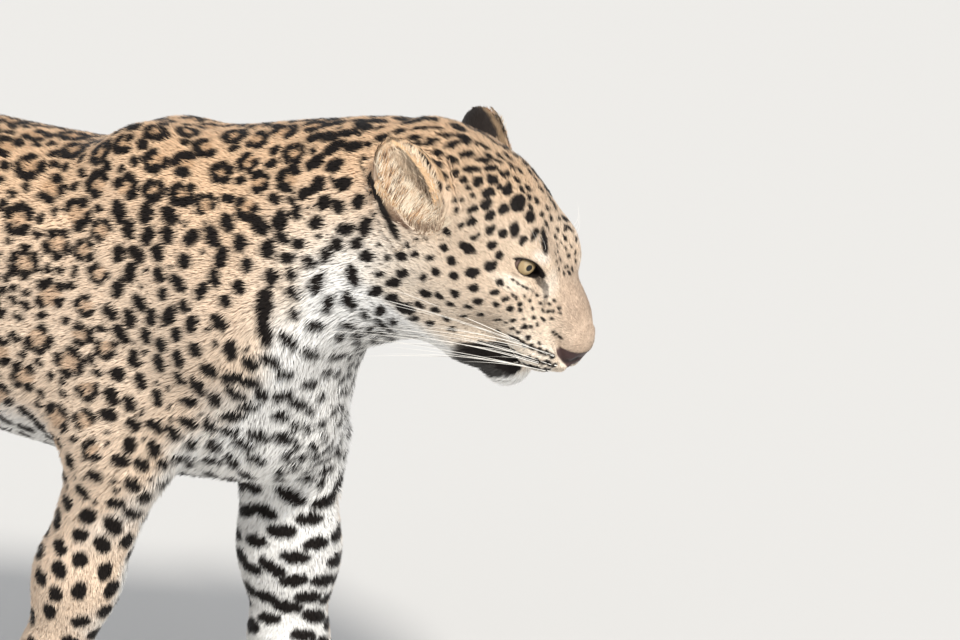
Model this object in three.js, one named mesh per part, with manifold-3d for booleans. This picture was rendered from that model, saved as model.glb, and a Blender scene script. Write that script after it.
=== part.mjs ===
// A life-size walking leopard in millimetres, +Z up, facing +X, its right side towards -Y, standing on z = 0.
// The body is one smooth field built from named muscles and bones; each named part is the field's surface inside its own region, parted by thin planar cuts.
import * as THREE from "three";
import { mergeVertices } from "three/addons/utils/BufferGeometryUtils.js";
import Module from "manifold-3d";

const wasm = await Module();
wasm.setup();

// ---- Driving dimensions ----
const GAP = 0.3; // between neighbouring parts
const CENTRE = [-303.33, 1.57]; // middle of the animal's own length and width in the frame of the withers
const HEAD = { nose: [430, -20, 459], pitch: 28, yaw: -8 }; // tip of the nose, and the head's turn from level and straight
const EYE = { centre: [-94, 33, 51], radius: 16 };
const NOSE = { centre: [-19, 0, -12], size: [14, 18.5, 13] };
const EAR = {
  base: [-173, 58, 33],
  tip: { right: [-246, 90, 101], left: [-241, 86, 91] },
  width: 64,
  depth: 40,
  opening: [0.28, 0.94, 0.1],
};
const NECK_CUT = { point: [262, 0, 565], normal: [0.967, -0.136, -0.213] }; // from the nape to the back of the jaw
const CHEST_CUT = { point: [40, 0, 660], normal: [0.856, 0, 0.517] }; // from the withers to the throat
const LOIN_CUT = -175;
const RUMP_CUT = -415;
const FORELEG_CUT = { inner: [30, 276], outer: [120, 340] }; // distance from the middle, height
const HINDLEG_CUT = { inner: [30, 338], outer: [120, 402] };
const FORE_PAW_CUT = 62;
const HIND_PAW_CUT = 56;

// Sections along the body: place, top, bottom, half width.
const TRUNK = {
  roundness: 2.25,
  sections: [
    [-718, 560, 500, 28],
    [-702, 586, 455, 52],
    [-672, 610, 420, 76],
    [-620, 630, 396, 92],
    [-540, 641, 386, 99],
    [-440, 640, 376, 101],
    [-330, 635, 352, 110],
    [-220, 630, 326, 119],
    [-120, 620, 305, 121],
    [-60, 617, 295, 116],
    [0, 628, 288, 108],
    [60, 643, 287, 100],
    [100, 650, 300, 95],
    [135, 656, 338, 91],
    [165, 660, 395, 89],
    [195, 664, 430, 88],
    [225, 666, 442, 87],
    [255, 666, 452, 84],
    [280, 656, 468, 74],
    [300, 636, 492, 54],
    [312, 612, 520, 30],
  ],
};
// Sections along the head, from the nape to the nose, in the head's own frame.
const SKULL = {
  roundness: 2.15,
  sections: [
    [-255, 92, -66, 40],
    [-240, 104, -76, 58],
    [-220, 114, -80, 68],
    [-190, 119, -78, 73],
    [-160, 117, -72, 74],
    [-130, 107, -64, 71],
    [-103, 93, -56, 62],
    [-82, 73, -46, 51],
    [-62, 57, -36, 39],
    [-38, 42, -26, 26],
    [-24, 31, -24, 19],
    [-14, 17, -18, 13],
  ],
};
// Muscles and bones: a cone has two ends, two radii, a sideways flattening and a blend; an ell has a centre, three radii, a turn and a blend; a sub is hollowed out.
const BODY = [
  ["scapula", "cone", [-14, -40, 604], [98, -74, 470], 37, 46, 0.8, 72],
  ["scapula", "cone", [-4, 38, 586], [118, 74, 462], 36, 46, 0.8, 66],
  ["upper_arm", "cone", [92, -70, 455], [-22, -78, 338], 50, 50, 0.75, 34],
  ["upper_arm", "cone", [112, 72, 430], [84, 80, 336], 50, 54, 0.75, 30],
  ["triceps", "cone", [-22, -62, 520], [-44, -78, 362], 44, 46, 0.72, 40],
  ["triceps", "cone", [10, 62, 520], [44, 78, 352], 44, 44, 0.72, 40],
  ["forearm", "cone", [-30, -79, 318], [-72, -77, 200], 52, 40, 0.8, 34],
  ["forearm", "cone", [86, 80, 318], [86, 78, 200], 60, 47, 0.76, 34],
  ["wrist", "cone", [-72, -77, 200], [-100, -74, 108], 40, 32, 0.88, 30],
  ["wrist", "cone", [86, 78, 200], [86, 76, 108], 47, 35, 0.84, 30],
  ["metacarpus", "cone", [-100, -74, 108], [-88, -74, 48], 32, 33, 1.12, 26],
  ["metacarpus", "cone", [86, 76, 108], [104, 76, 48], 35, 33, 1.12, 26],
  ["gluteal", "ell", [-600, -50, 545], [105, 62, 78], [0, 0, 0], 40],
  ["gluteal", "ell", [-600, 50, 545], [105, 62, 78], [0, 0, 0], 40],
  ["thigh", "cone", [-604, -62, 510], [-500, -82, 372], 92, 62, 0.62, 40],
  ["thigh", "cone", [-612, 62, 505], [-536, 84, 365], 92, 60, 0.62, 40],
  ["hamstring", "cone", [-664, -56, 500], [-546, -80, 330], 50, 42, 0.7, 36],
  ["hamstring", "cone", [-672, 56, 498], [-596, 82, 322], 50, 40, 0.7, 36],
  ["gaskin", "cone", [-506, -84, 350], [-542, -80, 215], 54, 33, 0.72, 28],
  ["gaskin", "cone", [-550, 86, 340], [-648, 80, 220], 54, 33, 0.72, 28],
  ["hock", "cone", [-542, -80, 215], [-556, -78, 150], 33, 30, 0.78, 30],
  ["hock", "cone", [-648, 80, 220], [-676, 78, 172], 33, 30, 0.78, 30],
  ["heel", "ell", [-566, -78, 168], [20, 18, 24], [0, 0, 0], 16],
  ["heel", "ell", [-690, 78, 188], [20, 18, 24], [0, 0, 0], 16],
  ["metatarsus", "cone", [-556, -78, 150], [-496, -78, 46], 30, 28, 0.95, 26],
  ["metatarsus", "cone", [-676, 78, 172], [-690, 78, 46], 30, 28, 0.95, 26],
  ["flank_fold", "cone", [-430, -84, 400], [-480, -84, 360], 26, 30, 0.5, 40],
  ["flank_fold", "cone", [-440, 84, 400], [-500, 84, 360], 26, 30, 0.5, 40],
  ["neck_base", "cone", [140, -40, 520], [70, -60, 470], 66, 60, 0.8, 50],
  ["neck_base", "cone", [140, 40, 520], [90, 60, 470], 66, 60, 0.8, 50],
  ["brisket", "ell", [114, 0, 385], [62, 70, 92], [0, 0, 0], 40],
];
const FACE = [
  ["zygoma", "ell", [-122, -50, 10], [44, 27, 27], [0, -8, 0], 24],
  ["zygoma", "ell", [-122, 50, 10], [44, 27, 27], [0, -8, 0], 24],
  ["cheekbone", "cone", [-84, -40, 16], [-150, -62, 4], 17, 22, 1, 20],
  ["cheekbone", "cone", [-84, 40, 16], [-150, 62, 4], 17, 22, 1, 20],
  ["masseter", "ell", [-150, -50, -28], [44, 28, 42], [0, 0, 0], 26],
  ["masseter", "ell", [-150, 50, -28], [44, 28, 42], [0, 0, 0], 26],
  ["brow", "ell", [-86, -30, 58], [25, 21, 17], [0, 20, 0], 24],
  ["brow", "ell", [-86, 30, 58], [25, 21, 17], [0, 20, 0], 24],
  ["bridge", "ell", [-46, 0, 11], [38, 25, 26], [0, 30, 0], 16],
  ["whisker_pad", "ell", [-43, -25, -20], [27, 19, 20], [0, 8, 0], 9],
  ["whisker_pad", "ell", [-43, 25, -20], [27, 19, 20], [0, 8, 0], 9],
  ["lip_front", "ell", [-26, -11, -23], [17, 13, 14], [0, 0, 0], 8],
  ["lip_front", "ell", [-26, 11, -23], [17, 13, 14], [0, 0, 0], 8],
  ["nose_tip", "ell", [-19, 0, 0], [16, 17, 14], [0, 0, 0], 10],
  ["pad_rear", "ell", [-66, -30, -4], [28, 17, 22], [0, 10, 0], 14],
  ["pad_rear", "ell", [-66, 30, -4], [28, 17, 22], [0, 10, 0], 14],
  ["chin", "ell", [-66, 0, -62], [20, 23, 22], [0, 0, 0], 12],
  ["jaw_front", "cone", [-72, -15, -57], [-108, -36, -46], 18, 22, 1, 14],
  ["jaw_front", "cone", [-72, 15, -57], [-108, 36, -46], 18, 22, 1, 14],
  ["jaw_rear", "cone", [-106, -36, -46], [-156, -44, -34], 22, 32, 1, 18],
  ["jaw_rear", "cone", [-106, 36, -46], [-156, 44, -34], 22, 32, 1, 18],
  ["throat_fill", "ell", [-130, 0, -44], [62, 40, 30], [0, 0, 0], 24],
  ["socket", "sub", [-78, -47, 50], [15, 11, 12], [0, 0, 0], 16],
  ["socket", "sub", [-78, 47, 50], [15, 11, 12], [0, 0, 0], 16],
];
const PAWS = [
  { name: "fore_right", at: [-66, -76], turn: -4, length: 124, width: 96, height: 62 },
  { name: "fore_left", at: [124, 78], turn: 3, length: 124, width: 96, height: 62 },
  { name: "hind_right", at: [-468, -80], turn: -6, length: 114, width: 82, height: 54 },
  { name: "hind_left", at: [-668, 80], turn: 5, length: 114, width: 82, height: 54 },
];
const TAIL = [
  [-690, 0, 566, 36],
  [-735, 0, 532, 31],
  [-772, 0, 474, 27],
  [-792, 0, 404, 25],
  [-806, 0, 330, 24],
  [-824, 0, 262, 24],
  [-856, 0, 206, 24],
  [-904, 0, 172, 24],
  [-956, 0, 172, 23],
  [-998, -2, 202, 22],
  [-1020, -4, 246, 20],
];

// ---- The field: negative inside, about a distance near the surface ----
const smin = (a, b, k) => {
  const h = Math.max(k - Math.abs(a - b), 0) / k;
  return Math.min(a, b) - h * h * k * 0.25;
};
const smax = (a, b, k) => -smin(-a, -b, k);
const clamp = (v, a, b) => Math.min(Math.max(v, a), b);

// Smooth curve through the sections, without overshoot.
function profile(sections, column) {
  const X = sections.map((s) => s[0]),
    Y = sections.map((s) => s[column]),
    n = X.length;
  const h = [],
    d = [],
    m = [];
  for (let i = 0; i < n - 1; i++) {
    h.push(X[i + 1] - X[i]);
    d.push((Y[i + 1] - Y[i]) / h[i]);
  }
  m[0] = d[0];
  m[n - 1] = d[n - 2];
  for (let i = 1; i < n - 1; i++) {
    const w1 = 2 * h[i] + h[i - 1],
      w2 = h[i] + 2 * h[i - 1];
    m[i] =
      d[i - 1] * d[i] > 0 ? (w1 + w2) / (w1 / d[i - 1] + w2 / d[i]) : 0;
  }
  return (x) => {
    let i = 0;
    while (i < n - 2 && x > X[i + 1]) i++;
    const t = clamp((x - X[i]) / h[i], 0, 1),
      t2 = t * t,
      t3 = t2 * t;
    return (
      (2 * t3 - 3 * t2 + 1) * Y[i] +
      (t3 - 2 * t2 + t) * h[i] * m[i] +
      (-2 * t3 + 3 * t2) * Y[i + 1] +
      (t3 - t2) * h[i] * m[i + 1]
    );
  };
}

function loft({ roundness: n, sections }) {
  const top = profile(sections, 1),
    bottom = profile(sections, 2),
    half = profile(sections, 3);
  const x0 = sections[0][0],
    x1 = sections[sections.length - 1][0];
  return ([x, y, z]) => {
    const xc = clamp(x, x0, x1),
      t = top(xc),
      b = bottom(xc),
      w = half(xc);
    const zc = (t + b) / 2,
      hz = (t - b) / 2;
    const rho = (Math.abs(y / w) ** n + Math.abs((z - zc) / hz) ** n) ** (1 / n);
    const away = Math.hypot(y, z - zc),
      deepest = -Math.min(w, hz);
    const d = rho > 1e-6 ? Math.max(((rho - 1) * away) / rho, deepest) : deepest;
    const dx = Math.max(x0 - x, x - x1, 0);
    return dx > 0 ? Math.hypot(Math.max(d, 0), dx) : d;
  };
}

function cone([, , a, b, ra, rb, flat]) {
  const ba = b.map((v, i) => v - a[i]),
    l2 = ba[0] ** 2 + ba[1] ** 2 + ba[2] ** 2;
  return (p) => {
    const ap = p.map((v, i) => v - a[i]);
    const t = clamp((ap[0] * ba[0] + ap[1] * ba[1] + ap[2] * ba[2]) / l2, 0, 1);
    const qx = ap[0] - t * ba[0],
      qy = (ap[1] - t * ba[1]) / flat,
      qz = ap[2] - t * ba[2];
    const d = Math.hypot(qx, qy, qz),
      g = Math.hypot(qx, qy / flat, qz) / Math.max(d, 1e-9);
    return (d - ra - (rb - ra) * t) / Math.max(g, 0.6);
  };
}

// Turned by yaw, pitch and roll in degrees; pitch lowers the front.
function turn([yaw, pitch, roll]) {
  const [a, b, c] = [yaw, pitch, roll].map((v) => (v * Math.PI) / 180);
  const [ca, sa, cb, sb, cc, sc] = [
    Math.cos(a),
    Math.sin(a),
    Math.cos(b),
    Math.sin(b),
    Math.cos(c),
    Math.sin(c),
  ];
  return [
    [ca * cb, ca * sb * sc - sa * cc, ca * sb * cc + sa * sc],
    [sa * cb, sa * sb * sc + ca * cc, sa * sb * cc - ca * sc],
    [-sb, cb * sc, cb * cc],
  ];
}
const dot = (a, b) => a[0] * b[0] + a[1] * b[1] + a[2] * b[2];
const sub = (a, b) => [a[0] - b[0], a[1] - b[1], a[2] - b[2]];
const unit = (a) => {
  const l = Math.hypot(...a);
  return [a[0] / l, a[1] / l, a[2] / l];
};
const cross = (a, b) => [
  a[1] * b[2] - a[2] * b[1],
  a[2] * b[0] - a[0] * b[2],
  a[0] * b[1] - a[1] * b[0],
];
const column = (m, i) => [m[0][i], m[1][i], m[2][i]];
const toFrame = (m, p) => [
  dot(column(m, 0), p),
  dot(column(m, 1), p),
  dot(column(m, 2), p),
];
const fromFrame = (m, p) => [dot(m[0], p), dot(m[1], p), dot(m[2], p)];

function ellipsoid(centre, size, angles) {
  const m = angles && angles.some((v) => v) ? turn(angles) : null,
    low = -Math.min(...size);
  return (p) => {
    let q = sub(p, centre);
    if (m) q = toFrame(m, q);
    const k0 = Math.hypot(q[0] / size[0], q[1] / size[1], q[2] / size[2]);
    const k1 = Math.hypot(
      q[0] / size[0] ** 2,
      q[1] / size[1] ** 2,
      q[2] / size[2] ** 2,
    );
    return k1 > 1e-9 ? (k0 * (k0 - 1)) / k1 : low;
  };
}

function pieceOf(row) {
  const shape =
    row[1] === "cone" ? cone(row) : ellipsoid(row[2], row[3], row[4]);
  return { shape, blend: row[row.length - 1], hollow: row[1] === "sub" };
}
const joined = (pieces) => (p, f) => {
  for (const { shape, blend, hollow } of pieces)
    f = hollow ? smax(f, -shape(p), blend) : smin(f, shape(p), blend);
  return f;
};

const headTurn = turn([HEAD.yaw, HEAD.pitch, 0]);
const toHead = (p) => toFrame(headTurn, sub(p, HEAD.nose));
const fromHead = (p) => {
  const q = fromFrame(headTurn, p);
  return [q[0] + HEAD.nose[0], q[1] + HEAD.nose[1], q[2] + HEAD.nose[2]];
};

const trunkLoft = loft(TRUNK),
  skullLoft = loft(SKULL),
  muscles = joined(BODY.map(pieceOf)),
  features = joined(FACE.map(pieceOf));
const headField = (p) => {
  const q = toHead(p);
  return q[0] < -330 || q[0] > 60 ? 60 : features(q, skullLoft(q));
};

const sided = (v, side) => [v[0], v[1] * side, v[2]];
// A cupped ear in its own frame: across, towards its opening, and along it. An outer form is hollowed from its open side.
function earShape(side) {
  const base = sided(EAR.base, side),
    rise = sub(sided(side < 0 ? EAR.tip.right : EAR.tip.left, side), base),
    length = Math.hypot(...rise),
    axis = unit(rise);
  const open0 = sided(EAR.opening, side),
    along = dot(open0, axis);
  const open = unit(open0.map((v, i) => v - along * axis[i])),
    across = cross(open, axis);
  const outer = ellipsoid([0, 0, length * 0.5], [EAR.width / 2, EAR.depth / 2, length * 0.52]);
  const inner = ellipsoid(
    [0, 15.5, length * 0.5 + 2],
    [EAR.width / 2 - 7, EAR.depth / 2 + 1, length * 0.46],
  );
  return {
    field: (q) => smax(outer(q), -inner(q), 4),
    place: (q) =>
      fromHead(base.map((v, i) => v + q[0] * across[i] + q[1] * open[i] + q[2] * axis[i])),
    length,
  };
}

function pawField({ at, turn: angle, length, width, height }) {
  const c = Math.cos((angle * Math.PI) / 180),
    s = Math.sin((angle * Math.PI) / 180);
  const palm = ellipsoid(
    [-length * 0.16, 0, height * 0.47],
    [length * 0.34, width * 0.42, height * 0.58],
  );
  const toes = [
    [-0.34, 0.16],
    [-0.13, 0.29],
    [0.12, 0.29],
    [0.34, 0.16],
  ].map(([u, v]) =>
    ellipsoid(
      [v * length - 2, u * width, height * 0.36],
      [length * 0.23, width * 0.155, height * 0.41],
    ),
  );
  return (p) => {
    const dx = p[0] - at[0],
      dy = p[1] - at[1],
      q = [dx * c + dy * s, -dx * s + dy * c, p[2]];
    return toes.reduce((f, toe) => smin(f, toe(q), 7), palm(q));
  };
}
const paws = PAWS.map((p) => ({ at: p.at, field: pawField(p) }));

const tailLinks = TAIL.slice(1).map((b, i) =>
  cone([0, 0, TAIL[i].slice(0, 3), b.slice(0, 3), TAIL[i][3], b[3], 1]),
);
const tailField = (p) => tailLinks.reduce((f, link) => smin(f, link(p), 6), 1e3);

// Everything but ears, eyes, nose and tail.
function bodyField(p) {
  let f = muscles(p, trunkLoft(p));
  if (p[2] < 170)
    for (const paw of paws)
      if (Math.hypot(p[0] - paw.at[0], p[1] - paw.at[1]) < 120)
        f = smin(f, paw.field(p), 14);
  if (p[0] > 90) f = smin(f, headField(p), 24);
  return f;
}

// ---- Surface of a field in a box: one vertex for each cell that the surface crosses, drawn onto the surface ----
function surface(field, low, high, step, place = (p) => p) {
  const count = low.map((v, i) => Math.max(2, Math.ceil((high[i] - v) / step[i])) + 3);
  const start = low.map((v, i) => v - step[i]);
  const [nx, ny, nz] = count;
  const at = (i, j, k) => (k * ny + j) * nx + i;
  const values = new Float64Array(nx * ny * nz);
  for (let k = 0; k < nz; k++)
    for (let j = 0; j < ny; j++)
      for (let i = 0; i < nx; i++) {
        const p = [start[0] + i * step[0], start[1] + j * step[1], start[2] + k * step[2]];
        const edge = i === 0 || j === 0 || k === 0 || i === nx - 1 || j === ny - 1 || k === nz - 1;
        const v = field(p);
        values[at(i, j, k)] = edge ? Math.max(v, 0.5 * step[0]) : v;
      }
  const index = new Int32Array(nx * ny * nz).fill(-1),
    points = [];
  const corners = [];
  for (let c = 0; c < 8; c++) corners.push([c & 1, (c >> 1) & 1, c >> 2]);
  const edges = [];
  for (let a = 0; a < 8; a++)
    for (let b = a + 1; b < 8; b++)
      if ([1, 2, 4].includes(a ^ b)) edges.push([a, b]);
  // Where a cell's inner corners touch only across a diagonal, the least outer one is filled, so that each cell holds one sheet.
  const touching = (set) => {
    const todo = [set[0]],
      seen = new Set(todo);
    while (todo.length) {
      const c = todo.pop();
      for (const bit of [1, 2, 4])
        if (set.includes(c ^ bit) && !seen.has(c ^ bit)) {
          seen.add(c ^ bit);
          todo.push(c ^ bit);
        }
    }
    return seen.size === set.length;
  };
  const all = [0, 1, 2, 3, 4, 5, 6, 7];
  for (let changed = true; changed; ) {
    changed = false;
    for (let k = 0; k < nz - 1; k++)
      for (let j = 0; j < ny - 1; j++)
        for (let i = 0; i < nx - 1; i++) {
          const id = corners.map(([a, b, c]) => at(i + a, j + b, k + c));
          const inner = all.filter((c) => values[id[c]] < 0),
            outer = all.filter((c) => values[id[c]] >= 0);
          if (!inner.length || !outer.length) continue;
          let fill = touching(inner) && touching(outer) ? null : outer;
          for (const [a, b] of [[1, 2], [1, 4], [2, 4]])
            for (const base of [0, 7 ^ a ^ b]) {
              const face = [base, base ^ a, base ^ a ^ b, base ^ b],
                on = face.map((c) => values[id[c]] < 0);
              if (on[0] === on[2] && on[1] === on[3] && on[0] !== on[1])
                fill = face.filter((c) => values[id[c]] >= 0);
            }
          if (!fill) continue;
          const least = fill.reduce((a, b) => (values[id[b]] < values[id[a]] ? b : a));
          values[id[least]] = -0.02 * Math.min(...step);
          changed = true;
        }
  }
  for (let k = 0; k < nz - 1; k++)
    for (let j = 0; j < ny - 1; j++)
      for (let i = 0; i < nx - 1; i++) {
        const v = corners.map(([a, b, c]) => values[at(i + a, j + b, k + c)]);
        const inside = v.filter((x) => x < 0).length;
        if (inside === 0 || inside === 8) continue;
        const sum = [0, 0, 0];
        let n = 0;
        for (const [a, b] of edges)
          if (v[a] < 0 !== v[b] < 0) {
            const t = v[a] / (v[a] - v[b]);
            for (let d = 0; d < 3; d++)
              sum[d] += corners[a][d] + t * (corners[b][d] - corners[a][d]);
            n++;
          }
        index[at(i, j, k)] = points.length;
        points.push([
          start[0] + (i + sum[0] / n) * step[0],
          start[1] + (j + sum[1] / n) * step[1],
          start[2] + (k + sum[2] / n) * step[2],
        ]);
      }
  // Draw each vertex onto the surface along the field's slope.
  const limit = 0.45 * Math.min(...step);
  for (const p of points) {
    const first = [...p];
    for (let n = 0; n < 4; n++) {
      const f = field(p),
        e = 0.5;
      const g = [0, 1, 2].map((d) => {
        const a = [...p],
          b = [...p];
        a[d] += e;
        b[d] -= e;
        return (field(a) - field(b)) / (2 * e);
      });
      const g2 = Math.max(dot(g, g), 0.05);
      for (let d = 0; d < 3; d++)
        p[d] = clamp(p[d] - (f * g[d]) / g2, first[d] - limit, first[d] + limit);
    }
  }
  const triangles = [];
  const quad = (a, b, c, d, flip) => {
    if (flip) [b, d] = [d, b];
    const near = (m, n) => Math.hypot(...sub(points[m], points[n]));
    if (near(a, c) <= near(b, d)) triangles.push(a, b, c, a, c, d);
    else triangles.push(a, b, d, b, c, d);
  };
  // A quad round each grid edge that the surface crosses.
  for (let k = 0; k < nz - 1; k++)
    for (let j = 0; j < ny - 1; j++)
      for (let i = 0; i < nx - 1; i++) {
        const here = values[at(i, j, k)] < 0;
        if (j && k && here !== values[at(i + 1, j, k)] < 0)
          quad(index[at(i, j - 1, k - 1)], index[at(i, j, k - 1)], index[at(i, j, k)], index[at(i, j - 1, k)], !here);
        if (i && k && here !== values[at(i, j + 1, k)] < 0)
          quad(index[at(i - 1, j, k - 1)], index[at(i - 1, j, k)], index[at(i, j, k)], index[at(i, j, k - 1)], !here);
        if (i && j && here !== values[at(i, j, k + 1)] < 0)
          quad(index[at(i - 1, j - 1, k)], index[at(i, j - 1, k)], index[at(i, j, k)], index[at(i - 1, j, k)], !here);
      }
  return new wasm.Manifold(
    new wasm.Mesh({
      numProp: 3,
      vertProperties: Float32Array.from(points.flatMap(place)),
      triVerts: Uint32Array.from(triangles),
    }),
  );
}

// ---- Cutting ----
function solidOf(geometry) {
  const g = geometry.clone();
  g.deleteAttribute("normal");
  g.deleteAttribute("uv");
  const merged = mergeVertices(g, 1e-4);
  return new wasm.Manifold(
    new wasm.Mesh({
      numProp: 3,
      vertProperties: Float32Array.from(merged.attributes.position.array),
      triVerts: Uint32Array.from(merged.index.array),
    }),
  );
}
const BIG = 4000;
// All space on the far side of a plane, along its normal.
function beyond(point, normal) {
  const g = new THREE.BoxGeometry(BIG, BIG, BIG);
  g.translate(0, 0, BIG / 2);
  const q = new THREE.Quaternion().setFromUnitVectors(
    new THREE.Vector3(0, 0, 1),
    new THREE.Vector3(...unit(normal)),
  );
  g.applyQuaternion(q);
  g.translate(...point);
  return solidOf(g);
}
const box = (low, high) => {
  const g = new THREE.BoxGeometry(high[0] - low[0], high[1] - low[1], high[2] - low[2]);
  g.translate(...low.map((v, i) => (v + high[i]) / 2));
  return solidOf(g);
};
// Both sides of a thin planar cut.
function sides(point, normal) {
  const n = unit(normal),
    step = (t) => point.map((v, i) => v + n[i] * t);
  return {
    front: beyond(step(GAP / 2), n),
    back: beyond(step(-GAP / 2), n.map((v) => -v)),
  };
}
// A sloping cut across a leg, higher on the outside.
function legSides({ inner, outer }, side) {
  const rise = outer[1] - inner[1],
    run = outer[0] - inner[0];
  return sides([0, side * inner[0], inner[1]], [0, -side * rise, run]);
}
// The largest of a solid's separate bodies, so that no crumb is left beside a cut.
function largest(solid) {
  const m = solid.getMesh(),
    n = m.numProp,
    t = m.triVerts,
    group = Int32Array.from({ length: m.numVert }, (_, i) => i);
  const find = (i) => {
    while (group[i] !== i) i = group[i] = group[group[i]];
    return i;
  };
  for (let i = 0; i < t.length; i += 3) {
    group[find(t[i])] = find(t[i + 1]);
    group[find(t[i + 1])] = find(t[i + 2]);
  }
  const at = (i) => Array.from(m.vertProperties.subarray(i * n, i * n + 3));
  const volume = {};
  for (let i = 0; i < t.length; i += 3) {
    const g = find(t[i]);
    volume[g] = (volume[g] || 0) + dot(at(t[i]), cross(at(t[i + 1]), at(t[i + 2])));
  }
  const best = Number(Object.keys(volume).reduce((a, b) => (volume[b] > volume[a] ? b : a)));
  if (Object.keys(volume).length === 1) return solid;
  const renamed = new Map(),
    points = [],
    triangles = [];
  for (let i = 0; i < t.length; i++) {
    if (find(t[i - (i % 3)]) !== best) continue;
    if (!renamed.has(t[i])) {
      renamed.set(t[i], renamed.size);
      points.push(...at(t[i]));
    }
    triangles.push(renamed.get(t[i]));
  }
  return new wasm.Manifold(
    new wasm.Mesh({
      numProp: 3,
      vertProperties: Float32Array.from(points),
      triVerts: Uint32Array.from(triangles),
    }),
  );
}

const neckCut = sides(NECK_CUT.point, NECK_CUT.normal);
const chestCut = sides(CHEST_CUT.point, CHEST_CUT.normal);
const loinCut = sides([LOIN_CUT, 0, 0], [1, 0, 0]);
const rumpCut = sides([RUMP_CUT, 0, 0], [1, 0, 0]);
const floor = beyond([0, 0, 0], [0, 0, 1]);
const cuts = {};
for (const [name, side] of [["right", -1], ["left", 1]]) {
  cuts["fore_" + name] = legSides(FORELEG_CUT, side);
  cuts["hind_" + name] = legSides(HINDLEG_CUT, side);
}
const solids = {};

// Head with its eyes and nose.
const eyeBall = (side, grow) => {
  const g = new THREE.SphereGeometry(EYE.radius + grow, 12, 8);
  g.rotateX(Math.PI / 2);
  g.translate(...fromHead(sided(EYE.centre, side)));
  return solidOf(g);
};
const noseField = (p) => ellipsoid(NOSE.centre, NOSE.size)(toHead(p));
const nosePoint = fromHead(NOSE.centre);
const noseSolid = (grow) =>
  surface((p) => noseField(p) - grow, nosePoint.map((v) => v - 26), nosePoint.map((v) => v + 26), [9, 9, 9]);
const headBox = [
  [190, -150, 400],
  [450, 130, 700],
];
const headWhole = surface(bodyField, ...headBox, [15.2, 15.2, 15.2]);
solids.head = headWhole
  .intersect(neckCut.front)
  .subtract(noseSolid(1.2))
  .subtract(eyeBall(-1, 0.4))
  .subtract(eyeBall(1, 0.4));
solids.head = largest(solids.head);
solids.nose = noseSolid(0);
solids.eye_right = eyeBall(-1, 0);
solids.eye_left = eyeBall(1, 0);

// Ears, kept clear of the head and the neck behind them.
const around = surface((p) => bodyField(p) - 0.9, ...headBox, [15.2, 15.2, 15.2]);
for (const [name, side] of [["right", -1], ["left", 1]]) {
  const { field, place, length } = earShape(side);
  solids["ear_" + name] = largest(
    surface(
      field,
      [-EAR.width / 2 - 5, -EAR.depth / 2 - 4, -6],
      [EAR.width / 2 + 5, EAR.depth / 2 + 4, length + 8],
      [11.5, 7, 11.5],
      place,
    ).subtract(around),
  );
}

// Neck and trunk.
solids.neck = largest(
  surface(bodyField, [10, -150, 360], [360, 150, 700], [30, 27, 27])
    .intersect(neckCut.back)
    .intersect(chestCut.front),
);
const trunkGrid = [[-750, -170, 230], [260, 170, 700], [56, 32, 32]];
const trunk = surface(bodyField, ...trunkGrid).intersect(chestCut.back);
const foreSpace = [-1, 1].map((s) => {
  const cut = cuts[s < 0 ? "fore_right" : "fore_left"];
  return { over: cut.front, under: cut.back.intersect(box([-170, s < 0 ? -300 : 0, -50], [230, s < 0 ? 0 : 300, 460])) };
});
const hindSpace = [-1, 1].map((s) => {
  const cut = cuts[s < 0 ? "hind_right" : "hind_left"];
  return { over: cut.front, under: cut.back.intersect(box([-760, s < 0 ? -300 : 0, -50], [-425, s < 0 ? 0 : 300, 460])) };
});
solids.chest = largest(
  trunk.intersect(loinCut.front).intersect(foreSpace[0].over).intersect(foreSpace[1].over),
);
solids.loin = largest(trunk.intersect(loinCut.back).intersect(rumpCut.front));
solids.rump = largest(
  trunk.intersect(rumpCut.back).intersect(hindSpace[0].over).intersect(hindSpace[1].over),
);

// Legs and paws.
for (const [pair, spaces, low, high, pawCut] of [
  ["fore", foreSpace, -170, 230, FORE_PAW_CUT],
  ["hind", hindSpace, -760, -425, HIND_PAW_CUT],
])
  for (const [s, side] of [[0, -1], [1, 1]]) {
    const name = pair + "leg_" + (side < 0 ? "right" : "left");
    const cut = sides([0, 0, pawCut], [0, 0, 1]);
    const span = [
      [low, side < 0 ? -150 : 5, pawCut - 30],
      [high, side < 0 ? -5 : 150, pair === "fore" ? 370 : 430],
    ];
    solids[name] = largest(
      surface(bodyField, ...span, [26, 24, 34]).intersect(spaces[s].under).intersect(cut.front),
    );
    const { at } = PAWS.find((p) => p.name === pair + "_" + (side < 0 ? "right" : "left"));
    solids[pair + "paw_" + (side < 0 ? "right" : "left")] = largest(
      surface(
        bodyField,
        [at[0] - 95, at[1] - 70, -30],
        [at[0] + 85, at[1] + 70, pawCut + 40],
        [18, 16, 18],
      )
        .intersect(cut.back)
        .intersect(floor),
    );
  }

// Tail in three lengths.
const tailWhole = surface(tailField, [-1060, -60, 120], [-640, 60, 620], [25, 19, 25]).subtract(
  surface((p) => bodyField(p) - 2, ...trunkGrid),
);
const tailCut = (i) =>
  sides(
    TAIL[i].slice(0, 3),
    sub(TAIL[i - 1].slice(0, 3), TAIL[i + 1].slice(0, 3)),
  );
const tailUpper = tailCut(4),
  tailLower = tailCut(7);
solids.tail_base = largest(tailWhole.intersect(tailUpper.front));
solids.tail_middle = largest(tailWhole.intersect(tailUpper.back).intersect(tailLower.front));
solids.tail_tip = largest(tailWhole.intersect(tailUpper.back).intersect(tailLower.back));

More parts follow.
